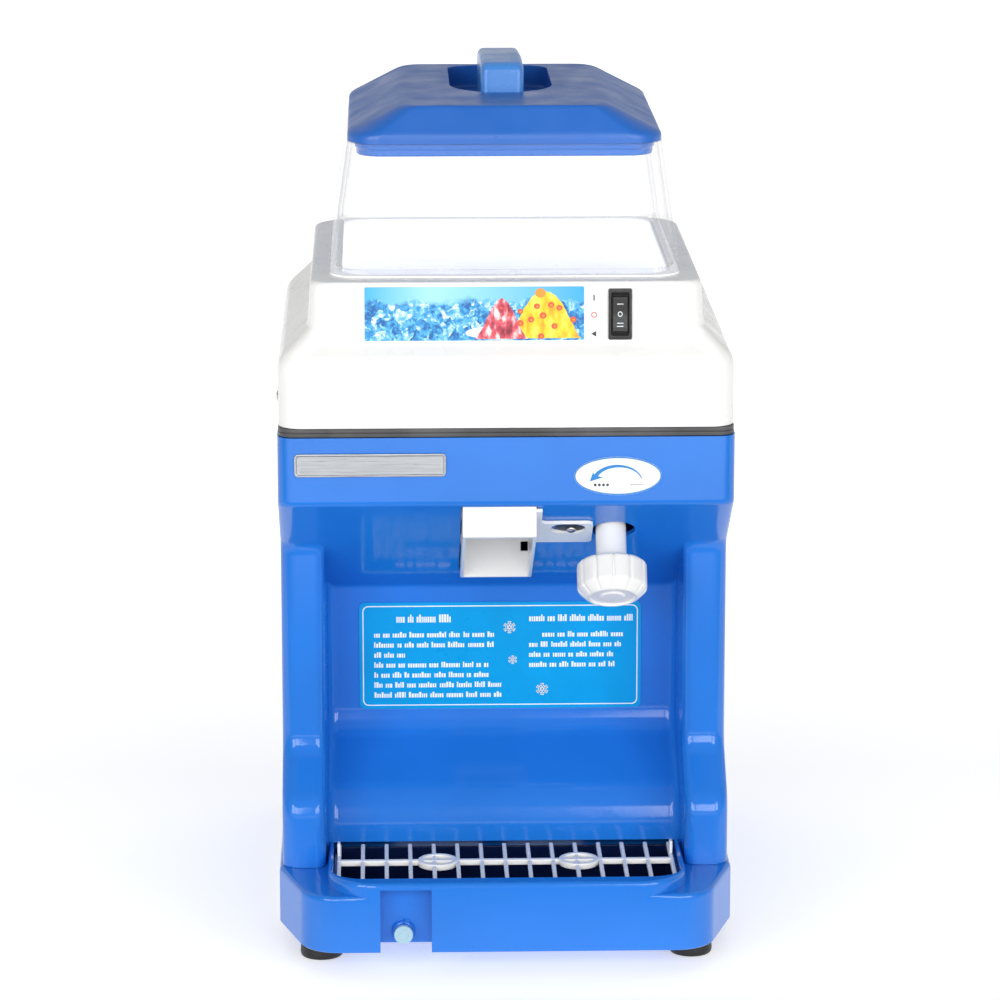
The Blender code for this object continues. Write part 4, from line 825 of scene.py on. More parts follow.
def build_seal():
    plan = (BODY_HALF_X - 0.0008, BODY_FRONT + 0.0008, BODY_BACK - 0.0008)

    def ring(inset, z):
        return inset_ring(plan, inset, BODY_CORNER - inset * 0.5, z, BODY_BACK_CORNER - inset)

    low, high = BODY_TOP + GAP, COVER_LOW - GAP
    middle = (low + high) / 2
    rings = [
        ring(0, high), ring(0, middle + 0.0005), ring(0.0006, middle), ring(0, middle - 0.0005),
        ring(0, low), ring(0.010, low), ring(0.010, high),
    ]
    seal = loft(softened(rings, (0.0008, 0.0002, 0.0002, 0.0002, 0.0008, 0, 0), 3))
    piece("seal_strip", seal, SEAL, "machine", "dark_rubber", "gasket")


def screw(head, shank, length, rise, matrix):
    """A cross-head screw that points down local Z, its head resting at height 0."""
    profile = [
        (0.0004, -length), (shank * 0.8, -length), (shank, -length + 0.0006), (shank, 0), (head, 0),
        (head * 0.93, rise * 0.45), (head * 0.55, rise * 0.92), (0.0004, rise),
    ]
    shape = turned(profile, (0, 0.0002, 0.0002, 0, 0.0003, 0.0008, 0.0008, 0), steps=32)
    half = head * 0.62
    slots = [
        box((-half, -0.0005, rise * 0.35), (half, 0.0005, rise * 2)),
        box((-0.0005, -half, rise * 0.35), (0.0005, half, rise * 2)),
    ]
    shape = combined(shape, "DIFFERENCE", *slots)
    shape.transform(matrix)
    return shape


def side_screw_spots():
    """The cover's screws: names, then a frame on the cover's side whose local Z comes out of it."""
    for name, side in (("left", -1), ("right", 1)):
        for end, y in (("front", -0.125), ("back", 0.100)):
            x = side * COVER_HALF_X
            at = Matrix(((0, 0, side, x), (0, 1, 0, y), (-side, 0, 0, COVER_SCREW_Z), (0, 0, 0, 1)))
            yield name, end, at


def build_screws():
    def fit(name, shape, node):
        piece(name, shape, BRIGHT_STEEL, "machine", "steel", node)

    out_back = Matrix(((1, 0, 0, 0), (0, 0, 1, BODY_BACK + 0.002 + 2 * GAP), (0, -1, 0, 0), (0, 0, 0, 1)))
    for side, level, x, z in panel_corners():
        at = Matrix.Translation((x, 0, z)) @ out_back
        shape = screw(0.0036, 0.0015, 0.0021, 0.0018, at)
        fit(f"rear_screw_{side}_{level}", shape, f"back_screw_{side}_{level}")
    for name, end, at in side_screw_spots():
        shape = screw(0.0045, 0.0018, 0.0065, 0.0020, at @ Matrix.Translation((0, 0, GAP)))
        fit(f"side_screw_{name}_{end}", shape, f"cover_screw_{name}_{end}")
    at = underside_frame(*SCREW_SPOT) @ Matrix.Translation((0, 0, 0.0012)) @ Matrix.Rotation(0.5, 4, "Z")
    fit("flange_screw", screw(0.0037, 0.0018, 0.010, 0.0024, at), "chute_screw")


# ---------------------------------------------------------------- cover, hopper and lid

COVER_LOW = 0.3995
COVER_HALF_X, COVER_SCREW_Z = 0.165, 0.414
SHOULDER_Z, ROOF_Z, DOME_TOP = 0.449, 0.470, 0.504
SWITCH = (0.0820, 0.4805)
HOPPER = (0.128, -0.145, 0.120)  # half width, front, back
HOPPER_TOP, HOPPER_TOP_HALF_X, HOPPER_LEAN = 0.6005, 0.1142, 0.004
HOPPER_SEAT = (0.1215, -0.138, 0.113)
HOPPER_CORNER = 0.022
FUNNEL_LOW, THROAT_RADIUS = 0.4700, 0.084
LID_LOW = HOPPER_TOP + GAP
LID_HALF_X, LID_FLAT_HALF_X = 0.1138, 0.074
LID_FLAT, LID_RUN = 0.6274, 0.010
POCKET_HALF_X, POCKET_DEPTH = 0.038, 0.017
POCKET_FRONT, POCKET_FRONT_BOW = -0.060, 0.045
POCKET_BACK, POCKET_BACK_BOW = 0.098, 0.018
HANDLE_TOP, HANDLE_HALF_X, HANDLE_ROLL = 0.650, 0.0158, 0.0048
DOME_LEAN = math.atan2(0.0033, 0.041)


def dome_frame(x, z, out=0.0):
    """On the dome's front: local X along X, local Y up the face, local Z out of it."""
    lean, rise = math.sin(DOME_LEAN), math.cos(DOME_LEAN)
    y = -0.1611 - (DOME_TOP - 0.0026 - z) * math.tan(DOME_LEAN)
    at = Matrix(((1, 0, 0, x), (0, lean, -rise, y), (0, rise, lean, z), (0, 0, 0, 1)))
    return at @ Matrix.Translation((0, 0, out))


def build_cover():
    plan = (COVER_HALF_X, BODY_FRONT, BODY_BACK)

    def box_ring(z, inset=0.0):
        return inset_ring(plan, inset, 0.016, z, 0.050)

    edge = box_ring(SHOULDER_Z)

    def rising(ring):
        """Lifts each point by how far it is inside the shoulder's edge, for a slope of 45 degrees."""
        lifted = []
        for i, (p, q) in enumerate(zip(ring, edge)):
            corner, step = divmod(i, ARC + 1)
            facing = math.pi * (1 + (corner + step / ARC) / 2)
            inside = (q - p).dot(Vector((math.cos(facing), math.sin(facing), 0)))
            rise = min(inside, ROOF_Z - SHOULDER_Z)
            lifted.append(Vector((p.x, p.y, SHOULDER_Z + rise + p.z)))
        return lifted

    roof = rising(plan_ring(0.144, -0.165, 0.164, 0.014, 0, 0.040))
    foot = rising(plan_ring(0.1432, -0.1644, 0.132, 0.014, 0.0015, 0.030))
    seat = (0.1225, -0.139, 0.114, 0.022)
    rings = [
        box_ring(COVER_LOW), edge, roof, foot,
        plan_ring(0.1412, -0.1609, 0.1238, 0.014, DOME_TOP, 0.028),
        plan_ring(*seat, DOME_TOP), plan_ring(*seat, DOME_TOP - WALL),
        plan_ring(0.1375, -0.1572, 0.1200, 0.010, DOME_TOP - WALL, 0.024),
        plan_ring(0.1410, -0.1620, 0.1285, 0.012, ROOF_Z - 0.014, 0.028),
        box_ring(SHOULDER_Z - WALL, WALL), box_ring(COVER_LOW, WALL),
    ]
    reaches = (0.0008, 0.0075, 0.0050, 0.0060, 0.0042, 0.0008, 0.0008, 0, 0, 0, 0)
    cover = loft(softened(rings, reaches, 6))
    x, z = SWITCH
    holes = [box((x - 0.0070, -0.175, z - 0.0150), (x + 0.0070, -0.150, z + 0.0150))]
    for _, _, at in side_screw_spots():
        holes.append(turned([(0.0022, -0.008), (0.0022, 0.004)], matrix=at, steps=24))
    cover = combined(cover, "DIFFERENCE", *holes)
    piece("cover_moulding", cover, WHITE, "machine", "white_plastic", "top_cover")


def hopper_tube(z, share, inset=0.0):
    """A ring of the clear box, from its foot at share 0 to its top at share 1."""
    half_x, front, back = HOPPER
    lean = HOPPER_LEAN * share
    plan = (half_x - (half_x - HOPPER_TOP_HALF_X) * share, front + lean, back - lean)
    return inset_ring(plan, inset, HOPPER_CORNER - inset, z)


def hopper_seat(z, inset=0.0):
    return inset_ring(HOPPER_SEAT, inset, HOPPER_CORNER - inset, z)


def hopper_throat(z):
    count = 4 * (ARC + 1)
    reach = THROAT_RADIUS
    angles = [math.pi * (2 * (k + 0.5) / count - 1) for k in range(count)]
    return [Vector((reach * math.cos(a), SPINDLE_Y + reach * math.sin(a), z)) for a in angles]


def build_hopper_box():
    """The clear box. Its corners and its top edge are greyer than its walls: painted shade where the sheet is
    seen edge on.
    """
    low = DOME_TOP + GAP
    floor = low + 0.0012
    rings = [
        hopper_seat(floor, 0.0005), hopper_tube(floor, 0.0), hopper_tube(low + WALL, 0.03),
        hopper_tube(HOPPER_TOP, 1.0), hopper_tube(HOPPER_TOP, 1.0, WALL),
        hopper_tube(low + 2 * WALL, 0.06, WALL), hopper_seat(low + WALL, WALL),
    ]
    clear = loft(softened(rings, (0, 0.0012, 0.0012, 0.0008, 0.0008, 0.0050, 0), 5))
    piece("hopper_box", clear, CLEAR, "machine", "clear_acrylic", "hopper")
    clear.materials.append(CLEAR_EDGE_SHADED)
    for face in clear.polygons:
        across, along, upward = (abs(share) for share in face.normal)
        curved = min(across, along) > 0.16 or 0.3 < upward < 0.9
        face.material_index = int(curved or face.center.z > HOPPER_TOP - 0.002)


def build_hopper_funnel():
    low = DOME_TOP + GAP
    rings = [
        hopper_seat(FUNNEL_LOW + 0.006), hopper_seat(low), hopper_tube(low, 0.0, 0.001),
        hopper_tube(low + 0.0010, 0.0, 0.001), hopper_seat(low + 0.0010, 0.0035),
        hopper_seat(FUNNEL_LOW + 0.009, WALL), hopper_throat(FUNNEL_LOW + WALL), hopper_throat(FUNNEL_LOW),
    ]
    reaches = (0.003, 0.0008, 0.0003, 0.0003, 0.0012, 0.0050, 0.0005, 0.0005)
    funnel = loft(softened(rings, reaches, 4))
    # The funnel's emission is painted light.
    piece("hopper_funnel", funnel, PAN_WHITE_GLOWING, "machine", "clear_acrylic")


def lid_ring(share, z, inset=0.0, radius=0.024):
    """A ring of the lid, from its rim at share 0 to its flat top at share 1."""
    run, rim = LID_RUN * share, HOPPER_LEAN + 0.0005
    half_x = LID_HALF_X - (LID_HALF_X - LID_FLAT_HALF_X) * share
    return inset_ring((half_x, HOPPER[1] + rim + run, HOPPER[2] - rim - run), inset, radius, z)


def pocket_outline(margin):
    """The finger pocket seen from above: straight sides, a deeply bowed front and a squarer back."""
    half_x = POCKET_HALF_X + margin
    front, back = POCKET_FRONT - margin, POCKET_BACK + margin
    path = []
    for side, end, bow in ((-1, front, POCKET_FRONT_BOW), (1, back, POCKET_BACK_BOW)):
        for k in range(25):
            a = math.pi * k / 24
            path.append((side * half_x * math.cos(a), end - side * bow * (1 - math.sin(a))))
    return path


def pocket_rings(heights_and_margins):
    return [raised(pocket_outline(margin), z) for z, margin in heights_and_margins]


def build_lid():
    rings = [
        lid_ring(0.0, LID_LOW), lid_ring(0.0, LID_LOW + 0.0045), lid_ring(0.05, LID_LOW + 0.0075),
        lid_ring(1.0, LID_FLAT, radius=0.012), lid_ring(1.5, LID_FLAT, radius=0.008),
    ]
    lid = loft(softened(rings, (0, 0.0016, 0.0040, 0.0050, 0), 6), capped=True)
    hollow = [
        lid_ring(0.0, LID_LOW - 0.005, WALL), lid_ring(0.0, LID_LOW + 0.002, WALL),
        lid_ring(0.93, LID_FLAT - 0.0042, WALL * 0.5, 0.014),
    ]
    lid = combined(lid, "DIFFERENCE", loft(hollow, capped=True))
    floor = LID_FLAT - POCKET_DEPTH
    cup = loft(pocket_rings([(floor - 0.0025, 0.0025), (LID_FLAT - 0.001, 0.0025)]), capped=True)
    lid = combined(lid, "UNION", cup)
    cut_rings = pocket_rings([
        (floor, -0.006), (floor, 0.0), (LID_FLAT, 0.0),
        (LID_FLAT + 0.0001, 0.0012), (LID_FLAT + 0.006, 0.0012),
    ])
    cut = loft(softened(cut_rings, (0, 0.0035, 0.0012, 0, 0), 5), capped=True)
    lid = combined(lid, "DIFFERENCE", cut)
    piece("lid_moulding", lid, LID_BLUE, "lid", "lid_plastic", "lid_shell")


def build_lid_handle():
    """A bar along the finger pocket, with every edge rolled over."""
    low = LID_FLAT - POCKET_DEPTH - 0.001

    def outline(x, shrink):
        top = HANDLE_TOP - shrink
        side = [
            (-0.0625 + shrink, low, 0), (-0.0605 + shrink, top - 0.0010, 0.007), (-0.010, top, 0.05),
            (0.062 - shrink, top - 0.0045, 0.010), (0.080 - shrink, low, 0),
        ]
        return [Vector((x, y, z)) for y, z in rounded(side, steps=8)]

    rings = []
    for side, turns in ((-1, range(90, -1, -15)), (1, range(0, 91, 15))):
        for turn in turns:
            a = math.radians(turn)
            x = HANDLE_HALF_X - HANDLE_ROLL * (1 - math.sin(a))
            rings.append(outline(side * x, HANDLE_ROLL * (1 - math.cos(a))))
    piece("lid_handle", loft(rings, capped=True), HANDLE_LIT_BLUE, "lid", "lid_plastic")


def build_lid_skirt():
    inset, ledge = 0.0052, 0.0012
    low, high, step = LID_LOW - 0.010, LID_LOW + 0.0015, LID_LOW - 0.0042
    rings = [
        lid_ring(0, low + 0.003, inset + 0.0060, 0.014), lid_ring(0, high, inset + 0.0030, 0.017),
        lid_ring(0, high, inset, 0.019), lid_ring(0, step, inset, 0.019),
        lid_ring(0, step - ledge, inset + ledge, 0.018), lid_ring(0, low, inset + ledge, 0.018),
        lid_ring(0, low, inset + 0.0040, 0.016),
    ]
    skirt = loft(softened(rings, (0, 0, 0.0005, 0.0008, 0.0006, 0.0022, 0), 4), capped=True)
    piece("lid_skirt", skirt, SKIRT_BLUE, "lid", "lid_plastic", "lid_liner")


# ---------------------------------------------------------------- switch, chute and adjuster


BEZEL_RISE, ROCKER_HALF_X, ROCKER_HALF_Z = 0.0025, 0.0052, 0.0128
WELL_HALF_X, WELL_HALF_Z, WELL_DEEP = 0.0055, 0.0134, 0.0060


def build_switch():
    at = dome_frame(*SWITCH)

    def ring(half_x, half_z, radius, z):
        return raised(rectangle(half_x, half_z, radius, steps=4), z)

    rings = [
        ring(0.0085, 0.0185, 0.0012, GAP), ring(0.0085, 0.0185, 0.0012, BEZEL_RISE),
        ring(0.0067, 0.0158, 0.0008, BEZEL_RISE), ring(0.0057, 0.0137, 0.0006, 0.0014),
        ring(0.0057, 0.0137, 0.0006, GAP),
    ]
    bezel = loft(softened(rings, (0, 0.0006, 0.0004, 0.0003, 0), 3))
    case = box((-0.0065, -0.0145, -0.018), (0.0065, 0.0145, GAP + 0.0004))
    pocket = box((-WELL_HALF_X, -WELL_HALF_Z, -WELL_DEEP), (WELL_HALF_X, WELL_HALF_Z, 0.0014))
    bezel = combined(bezel, "UNION", combined(case, "DIFFERENCE", pocket))
    bezel.transform(at)
    piece("switch_bezel", bezel, BLACK, "machine", "black_plastic", "switch_body")


def build_rocker():
    """A paddle dished along its top and pointed below, with the marks of its three settings."""
    right_top = [(0.0098, 0.0029, 0.002), (ROCKER_HALF_Z, 0.0030, 0.0004)]
    right_half = [*right_top, (0.0122, 0.0002, 0), (0.004, -0.0030, 0)]
    left_half = [(-y, z, radius) for y, z, radius in reversed(right_half)]
    top_left, bottom_left = left_half[2:], left_half[:2]
    side = [*top_left, (0, 0.0018, 0.02), *right_half, *bottom_left]
    hinge = dome_frame(*SWITCH, -0.0005)
    rocker = slab(rounded(side, steps=3), -ROCKER_HALF_X, ROCKER_HALF_X, hinge @ SIDE_ON)
    piece("rocker_paddle", bevelled(rocker, 0.0003, 2), BLACK, "rocker", "black_plastic", "switch_rocker")
    marks = []
    for y, lift in ((0.0073, 0.0026), (-0.0066, 0.0025), (-0.0088, 0.0028)):
        marks.append(slab(rectangle(0.0023, 0.00028, 0.0001, 0, y, 2), lift - 0.0004, lift + 0.0001, hinge))
    marks.append(slab(ellipse(0.0017, 0.0019), 0.0015, 0.0023, hinge, [ellipse(0.0012, 0.0014)]))
    piece("rocker_marks", joined(marks), INK_WHITE, "rocker", "white_plastic")


CHUTE_TOP, CHUTE_FRONT_LOW, CHUTE_BACK_LOW, CHUTE_WALL = 0.3825, 0.3175, 0.2610, 0.0025
FLANGE_RIGHT = 0.064


def build_chute():
    """The square duct, its flange under the hood with the screw's slot, and a small rear hole."""
    wall, right_edge = CHUTE_WALL, 0.0042
    left, right, front, back = CHUTE
    side = [(front, CHUTE_TOP), (front, CHUTE_FRONT_LOW), (back, CHUTE_BACK_LOW), (back, CHUTE_TOP)]
    along_x = SIDE_ON.copy()
    along_x.translation = ((left + right) / 2, 0, 0)
    half = (right - left) / 2
    duct = bevelled(slab(side, -half, half, along_x), 0.0011)
    at = underside_frame(*SCREW_SPOT)
    screw_x = SCREW_SPOT[0]
    x0, lip, x1 = right - 0.001 - screw_x, right + right_edge - screw_x, FLANGE_RIGHT - screw_x
    y0, y1, y2 = -0.0220, 0.0153, 0.0392
    plate = [
        (x0, y0, 0), (x1, y0, 0.004), (x1, y1, 0.004), (lip, y1, 0.004), (lip, y2, 0.0005), (x0, y2, 0),
    ]
    flange = bevelled(slab(rounded(plate, steps=4), GAP, GAP + wall, at), 0.0005)
    passage = bevelled(box((left + wall, front + wall, 0.2), (right - wall, back - wall, 0.4)), 0.0012)
    slot = slab(rectangle(0.0128, 0.0087, 0.0085, -0.0027, 0.0050), -0.01, 0.01, at)
    peep = box((0.0135, back - 0.006, 0.2820), (0.0190, back + 0.003, 0.2895))
    duct = combined(duct, "UNION", flange)
    duct = combined(duct, "DIFFERENCE", passage, slot, peep)
    piece("chute_moulding", duct, CHUTE_WHITE, "machine", "white_plastic", "ice_chute")


def lobed_ring(radius, depth, height):
    """A ring of twelve broad lobes with narrow flutes between them."""
    count = 192
    ring = []
    for k in range(count):
        a = 2 * math.pi * (k + 0.5) / count
        r = radius - depth * max(0.0, math.cos(12 * a)) ** 9
        ring.append(Vector((r * math.cos(a), r * math.sin(a), height)))
    return ring


def build_knob():
    stem, knob, flute = 0.0112, 0.0257, 0.0020
    rear, face = 0.0268, 0.0538
    dish = face - 0.0016
    rings = [
        lobed_ring(stem - 0.0005, 0, -0.060), lobed_ring(stem, 0, -0.0595), lobed_ring(stem, 0, rear),
        lobed_ring(knob - 0.0020, flute, rear + 0.0002), lobed_ring(knob, flute, rear + 0.0022),
        lobed_ring(knob, flute, face - 0.0065), lobed_ring(0.0196, flute * 0.3, face - 0.0008),
        lobed_ring(0.0180, 0, face), lobed_ring(0.0168, 0, face), lobed_ring(0.0160, 0, dish),
        lobed_ring(0.0094, 0, dish), lobed_ring(0.0084, 0, face - 0.0003), lobed_ring(0.0010, 0, face),
    ]
    reaches = (0, 0, 0.0012, 0.0010, 0.0012, 0.0022, 0.0010, 0.0006, 0.0005, 0.0005, 0.0006, 0.0006, 0)
    shape = loft(softened(rings, reaches, 4), capped=True, matrix=underside_frame(KNOB_X, KNOB_Y))
    piece("adjuster_knob", shape, CHUTE_WHITE, "adjuster", "white_plastic", "adjust_knob")


# ---------------------------------------------------------------- badge and labels


LABEL_FACE = GAP + 0.0004  # how far a label's film stands out, print lies on it
INK_LAYER = 0.00006


def build_badge():
    """A blank metal plate with a raised border and five ridges."""
    at = face_frame(BODY_FRONT, -0.0988, 0.3727)
    field, border = GAP + 0.0010, GAP + 0.0016

    def ring(inset, z):
        return raised(rectangle(0.0548 - inset, 0.0085 - inset, max(0.003 - inset, 0.0008), steps=5), z)

    rings = [ring(0, GAP), ring(0, border), ring(0.0013, border), ring(0.0018, field), ring(0.0024, field)]
    plate = loft(softened(rings, (0, 0.0005, 0.0002, 0.0002, 0), 3), capped=True)
    ridges = []
    for k in range(5):
        ridge = rectangle(0.0505, 0.0006, 0.0005, 0, 0.0025 * (k - 2), 3)
        ridges.append(bevelled(slab(ridge, field - 0.0002, field + 0.00035), 0.0001, 1))
    plate = combined(plate, "UNION", *ridges)
    plate.transform(at)
    piece("badge_front", plate, BADGE_METAL, "machine", "badge_metal", "badge_plate")


def filler_words(rng, left, right, z, high):
    """A line of plain blocks in word-like groups, standing where a label has small print."""
    shapes = []
    x = left
    while x < right - 0.002:
        end = min(right, x + rng.uniform(0.004, 0.015))
        while x < end - 0.0008:
            wide = rng.uniform(0.0009, 0.0017)
            tall = high * rng.choice((0.72, 0.72, 0.72, 1.0))
            shapes.append((x, min(x + wide, end), z, z + tall))
            x += wide + 0.0005
        x += 0.0019
    return shapes


def ink(name, outlines, finish, at, height):
    """Shapes of print, each an outline or an (outline, holes) pair, lying at a height over a surface."""
    shapes = []
    for outline in outlines:
        edge, holes = outline if isinstance(outline, tuple) else (outline, ())
        shapes.append(slab(edge, height, height + INK_LAYER, at, holes))
    piece(name, joined(shapes), finish, "machine", "printed_label")


def blocks(rows):
    return [[(x0, z0), (x1, z0), (x1, z1), (x0, z1)] for x0, x1, z0, z1 in rows]


def spoke_bar(angle, length, half, centre):
    """A thin bar from the centre outward."""
    spoke = Vector((math.cos(angle), math.sin(angle)))
    side = Vector((-spoke.y, spoke.x)) * half
    start = Vector(centre)
    end = start + spoke * length
    return [tuple(p) for p in (start - side, end - side, end + side, start + side)]


def snowflake(x, z, radius):
    """Six arms, each with two pairs of twigs."""
    bars = []
    thin, twig, turn = radius * 0.10, radius * 0.30, math.pi / 3
    for k in range(6):
        a = turn * (k + 0.5)
        bars.append(spoke_bar(a, radius, thin, (x, z)))
        for reach in (0.50, 0.78):
            knot = (x + radius * reach * math.cos(a), z + radius * reach * math.sin(a))
            bars += [spoke_bar(a + way * turn, twig, thin * 0.8, knot) for way in (-1, 1)]
    return bars


def build_instruction_label():
    """A thin frame round two columns, each a heading over its lines, and three snowflakes between them."""
    at = face_frame(RECESS_WALL_Y, -0.001, 0.1940)
    rng = random.Random(7)
    border_x, border_z, line = 0.1048, 0.0393, 0.0008
    inside = rectangle(border_x - line, border_z - line, 0.0038)
    pitch = 0.0079
    rows = []
    for left, right, z, high in ((-0.079, -0.036, 0.0262, 0.0062), (0.022, 0.101, 0.0266, 0.0052)):
        rows += filler_words(rng, left, right, z, high)
    for k, end in enumerate((-0.003, -0.004, -0.072, -0.008, -0.008, 0.001, 0.005)):
        rows += filler_words(rng, -0.096, end, 0.0145 - pitch * k, 0.0043)
    for k, (start, end) in enumerate(((0.032, 0.095), (0.022, 0.095), (0.022, 0.086), (0.022, 0.088))):
        rows += filler_words(rng, start, end, 0.0143 - pitch * k, 0.0042)
    shapes = [(rectangle(border_x, border_z, 0.0045), [inside]), *blocks(rows)]
    for x, z, radius in ((0.007, 0.022, 0.0047), (0.0095, -0.0036, 0.0034), (0.032, -0.027, 0.0047)):
        shapes += snowflake(x, z, radius)
    ink("instruction_print", shapes, INK_WHITE, at, LABEL_FACE)


def arrow_outline():
    """A bent arrow whose shaft swells towards its head."""
    outer, inner = [], []
    steps = 28
    for k in range(steps + 1):
        share = k / steps
        a = math.radians(12 + 143 * share)
        half = 0.00035 + 0.0011 * share
        spoke = Vector((math.cos(a), math.sin(a)))
        centre = Vector((0.0175 * spoke.x, -0.0045 + 0.0118 * spoke.y))
        outer.append(tuple(centre + spoke * half))
        inner.append(tuple(centre - spoke * half))
    head = [(-0.0180, 0.0030), (-0.0205, -0.0040), (-0.0110, -0.0010)]
    return outer + head + list(reversed(inner))


def build_oval_label():
    """A bent arrow from the row of fine dots to the row of coarse ones."""
    at = face_frame(BODY_FRONT, 0.0805, 0.3637)
    border = (ellipse(0.0319, 0.0142), [ellipse(0.0308, 0.0132)])
    ink("oval_print", [border, arrow_outline()], INK_BLUE, at, LABEL_FACE)
    dots = [dot(0.0010, -0.0165 + 0.0030 * k, -0.0066, 16) for k in range(4)]
    dots += [dot(0.00045, 0.0095 + 0.0016 * k, -0.0066, 12) for k in range(6)]
    ink("grain_dots", dots, INK_DARK, at, LABEL_FACE)


def heap(centre, half, low, high, seed, fullness):
    """The outline of a ragged heap of ice, from a thin spire at a low fullness to a dome at a high one."""
    rng = random.Random(seed)
    bumps = 40
    path = []
    for k in range(bumps + 1):
        t = k / bumps * 2 - 1
        rise = (1 - abs(t) ** fullness) ** 1.5
        x = centre + half * t + rng.uniform(-0.0003, 0.0003)
        path.append((x, low + (high - low) * rise + rng.uniform(-0.0003, 0.0003)))
    return [(centre + half * 0.97, low - 0.0001), *reversed(path), (centre - half * 0.97, low - 0.0001)]


def build_picture_label():
    at = dome_frame(-0.0230, 0.4812)
    low = -0.0190

    def layer(name, outlines, finish, level):
        ink(name, outlines, finish, at, LABEL_FACE + INK_LAYER * level)

    layer("plate_print", [ellipse(0.0258, 0.0050, 0.0193, low + 0.0052, 48)], PLATE_PRINT, 0)
    layer("yellow_heap", [heap(0.0505, 0.0262, low + 0.0012, 0.0160, 5, 2.3)], YELLOW_ICE, 1)
    layer("red_heap", [heap(0.0195, 0.0190, low + 0.0008, 0.0112, 3, 1.7)], RED_ICE, 2)
    rng = random.Random(11)
    berries = [
        (0.0450, 0.0052), (0.0552, 0.0062), (0.0494, -0.0015), (0.0408, -0.0045), (0.0576, -0.0092),
        (0.0712, -0.0045), (0.0330, 0.0016), (0.0612, 0.0040), (0.0480, -0.0165), (0.0330, -0.0070),
    ]
    drops = [(0.0190, -0.0050), (0.0250, -0.0010), (0.0130, -0.0145), (0.0330, -0.0160), (0.0195, 0.0040)]
    rims, hearts = [], []
    for x, z in berries:
        radius = rng.uniform(0.0019, 0.0026)
        rims.append(ellipse(radius, radius * 0.92, x, z, 24))
        hearts.append(ellipse(radius * 0.42, radius * 0.38, x + 0.0002, z - 0.0002, 16))
    rims += [ellipse(0.0012, 0.0011, x, z, 16) for x, z in drops]
    layer("berry_spots", rims, INK_RED, 3)
    topping = ellipse(0.0038, 0.0034, 0.0475, 0.0148, 32)
    layer("berry_hearts", [topping, *hearts], INK_ORANGE, 4)


def build_switch_marks():
    """A bar, a ring and a back-turned triangle beside the rocker's run, off and reverse settings."""
    at = dome_frame(0.0, SWITCH[1])
    x, z, height = 0.0632, -0.0006, 0.00005
    bar_mark = rectangle(0.0005, 0.0021, 0.0001, x, 0.0118, 2)
    back_mark = [(x - 0.0022, -0.0143), (x + 0.0016, -0.0164), (x + 0.0016, -0.0122)]
    ink("run_marks", [bar_mark, back_mark], INK_DARK, at, height)
    ink("stop_mark", [(dot(0.0021, x, z, 32), [dot(0.0014, x, z, 32)])], INK_RED, at, height)


# ---------------------------------------------------------------- plain CAD nodes

KEPT_NODES = {
    LABEL_CYAN: ("instruction_label",),
    PICTURE: ("picture_label",),
    LABEL_WHITE: ("oval_label",),
    FOOT_BLACK: ("chute_washer",),
    SHEET_STEEL: ("bottom_plate", "deck_plate", "motor_bracket", "blade_carrier", "run_capacitor"),
    BRIGHT_STEEL: (
        "adjust_rod", "blade", "ice_paddle", "motor_pulley", "motor_shaft", "paddle_nut",
        "rotor_pulley", "rotor_shaft", "shaft_bearing",
    ),
    CHUTE_WHITE: ("ice_chamber",),
    BLACK: ("terminal_block", "power_inlet"),
    BELT_BLACK: ("drive_belt",),
    CAST_GREY: ("motor_housing",),
}
SHARP_EDGED = ("instruction_label", "picture_label", "oval_label", "blade")


def dress_kept_nodes():
    """Gives each CAD node that still shows its finish, and softens its edges."""
    for finish, names in KEPT_NODES.items():
        for name in names:
            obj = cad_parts[name]
            obj.data.materials.clear()
            obj.data.materials.append(finish)
            weld = obj.modifiers.new("Weld", "WELD")
            weld.merge_threshold = 0.000005
            if name not in SHARP_EDGED:
                add_bevel(obj, 0.0003, 2)
            normals = obj.modifiers.new("Normals", "WEIGHTED_NORMAL")
            normals.keep_sharp = True


# ---------------------------------------------------------------- studio

SIDE_WATTS, FRONT_WATTS, LAMP_AIM = 20, 19, (0, -0.05, 0.32)
LENS, SENSOR = 154.44, 36.0
CAMERA_PLACE, CAMERA_AIM = (-0.09, -3.2, 1.05), (0, 0, 0.3055)
# How bright the room is from in front of the machine (-1) to behind it (1), where the white backdrop is.
ROOM = ((-1.0, 0.42), (-0.4, 0.30), (0.0, 0.25), (0.35, 0.66))


def build_floor():
    """A pale floor that glows a little, more so far behind, with a dull strip in front of the machine:
    painted shade, standing for the floor's shadow near the machine, which the base's sides reflect.
    """
    g = Graph("pale_floor")
    parts = g.add("ShaderNodeSeparateXYZ")
    g.link(g.place, parts.inputs[0])
    y = parts.outputs["Y"]
    cloud = g.ranged(g.noise(1.5, 3.0), 0.98, 1.0)
    # near and far give the floor's albedo: pale, but low between y -1.0 and -0.45 in front of the machine, as
    # painted shade.
    near = g.ranged(y, 0.35, 0.90, -0.45, -0.26)
    far = g.ranged(y, 0.55, 0.0, -1.5, -1.0)
    shade = g.maths("MULTIPLY", g.maths("ADD", near, far), cloud)
    colour = g.add("ShaderNodeCombineColor")
    for channel in colour.inputs:
        g.link(shade, channel)
    behind = g.ranged(y, 0.0, 0.46, -0.45, -0.26)
    ahead = g.ranged(y, 0.40, 0.0, -1.5, -1.0)
    backdrop = g.ranged(y, 0.0, 0.30, 0.30, 1.20)
    glow = g.maths("ADD", g.maths("ADD", behind, ahead), backdrop)
    finish = g.finish(colour.outputs[0], 0.85, Emission_Color=(1, 1, 1, 1), Emission_Strength=glow)
    mesh = mesh_from(lambda bm: bmesh.ops.create_grid(bm, x_segments=8, y_segments=8, size=12.0))
    mesh.materials.append(finish)
    floor = shown(bpy.data.objects.new("studio_floor", mesh))
    floor.location.z = -0.0004


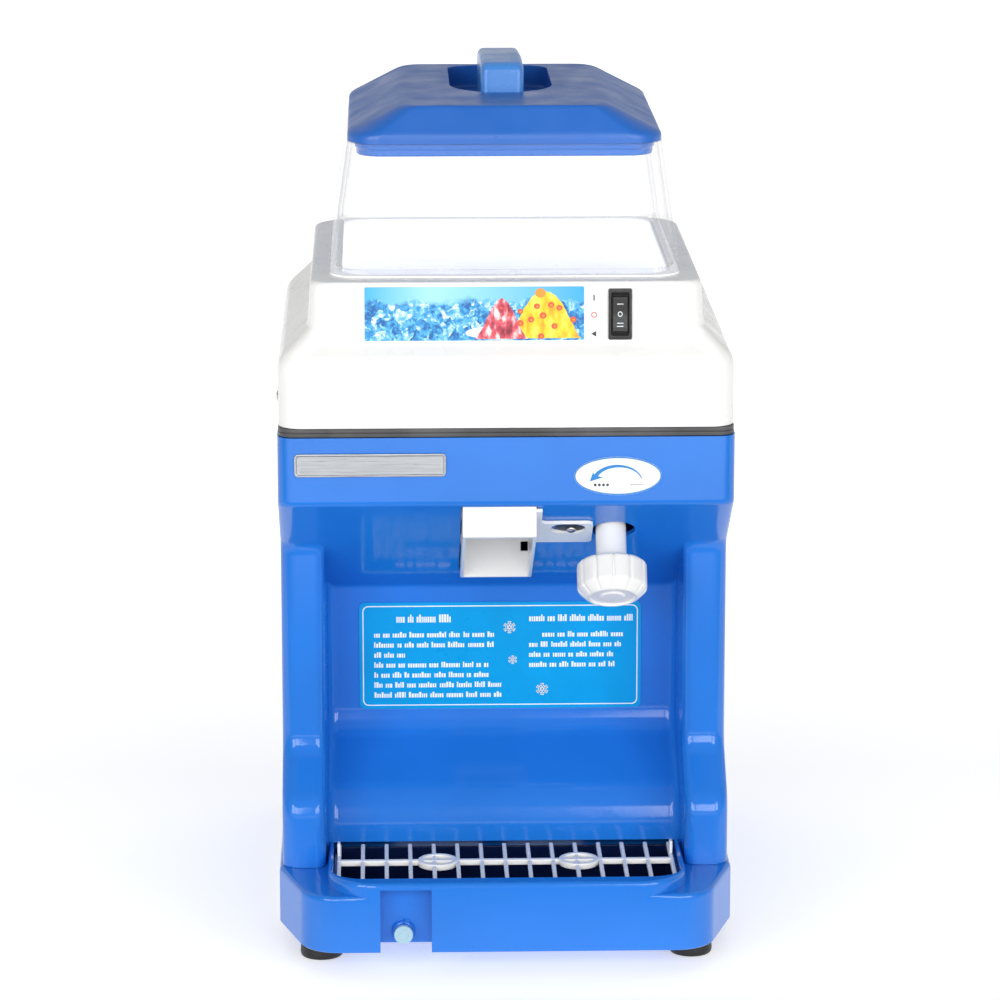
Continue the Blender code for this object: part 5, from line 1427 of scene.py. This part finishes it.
def add_lamp(name, place, size_x, size_y, power):
    data = bpy.data.lights.new(name, "AREA")
    data.shape = "RECTANGLE"
    data.size, data.size_y = size_x, size_y
    data.energy = power
    lamp = shown(bpy.data.objects.new(name, data))
    lamp.location = place
    lamp.rotation_euler = (Vector(LAMP_AIM) - Vector(place)).to_track_quat("-Z", "Y").to_euler()


def build_lights():
    for name, side in (("left", -1), ("right", 1)):
        add_lamp(f"softbox_{name}", (side * 1.7, -2.3, 1.05), 0.9, 1.3, SIDE_WATTS)
        add_lamp(f"front_{name}", (side * 0.75, -2.85, 1.0), 1.0, 1.2, FRONT_WATTS)
    world = bpy.data.worlds.new("studio")
    world.use_nodes = True
    tree = world.node_tree
    toward = tree.nodes.new("ShaderNodeTexCoord").outputs["Generated"]
    parts = tree.nodes.new("ShaderNodeSeparateXYZ")
    tree.links.new(toward, parts.inputs[0])
    depth = tree.nodes.new("ShaderNodeMapRange")
    depth.inputs["From Min"].default_value = -1.0
    tree.links.new(parts.outputs["Y"], depth.inputs["Value"])
    ramp = tree.nodes.new("ShaderNodeValToRGB")
    tree.links.new(depth.outputs["Result"], ramp.inputs[0])
    while len(ramp.color_ramp.elements) < len(ROOM):
        ramp.color_ramp.elements.new(1.0)
    for stop, (y, level) in zip(ramp.color_ramp.elements, ROOM):
        stop.position = (y + 1) / 2
        stop.color = (level, level, level, 1)
    tree.links.new(ramp.outputs["Color"], tree.nodes["Background"].inputs["Color"])
    bpy.context.scene.world = world
    bpy.context.scene.view_settings.view_transform = "Standard"


def build_camera():
    data = bpy.data.cameras.new("camera")
    data.sensor_width = SENSOR
    data.lens = LENS
    camera = shown(bpy.data.objects.new("camera", data))
    camera.location = CAMERA_PLACE
    aim = Vector(CAMERA_AIM) - camera.location
    camera.rotation_euler = aim.to_track_quat("-Z", "Y").to_euler()
    bpy.context.scene.camera = camera


STEPS = (
    build_camera, build_floor, build_lights, build_base, build_basin, build_grid, build_feet, build_body,
    build_back_panel, build_seal, build_screws, build_cover, build_hopper_box, build_hopper_funnel, build_lid,
    build_lid_handle, build_lid_skirt, build_switch, build_rocker, build_chute, build_knob, build_badge,
    build_instruction_label, build_oval_label, build_picture_label, build_switch_marks, dress_kept_nodes,
)
for step in STEPS:
    step()
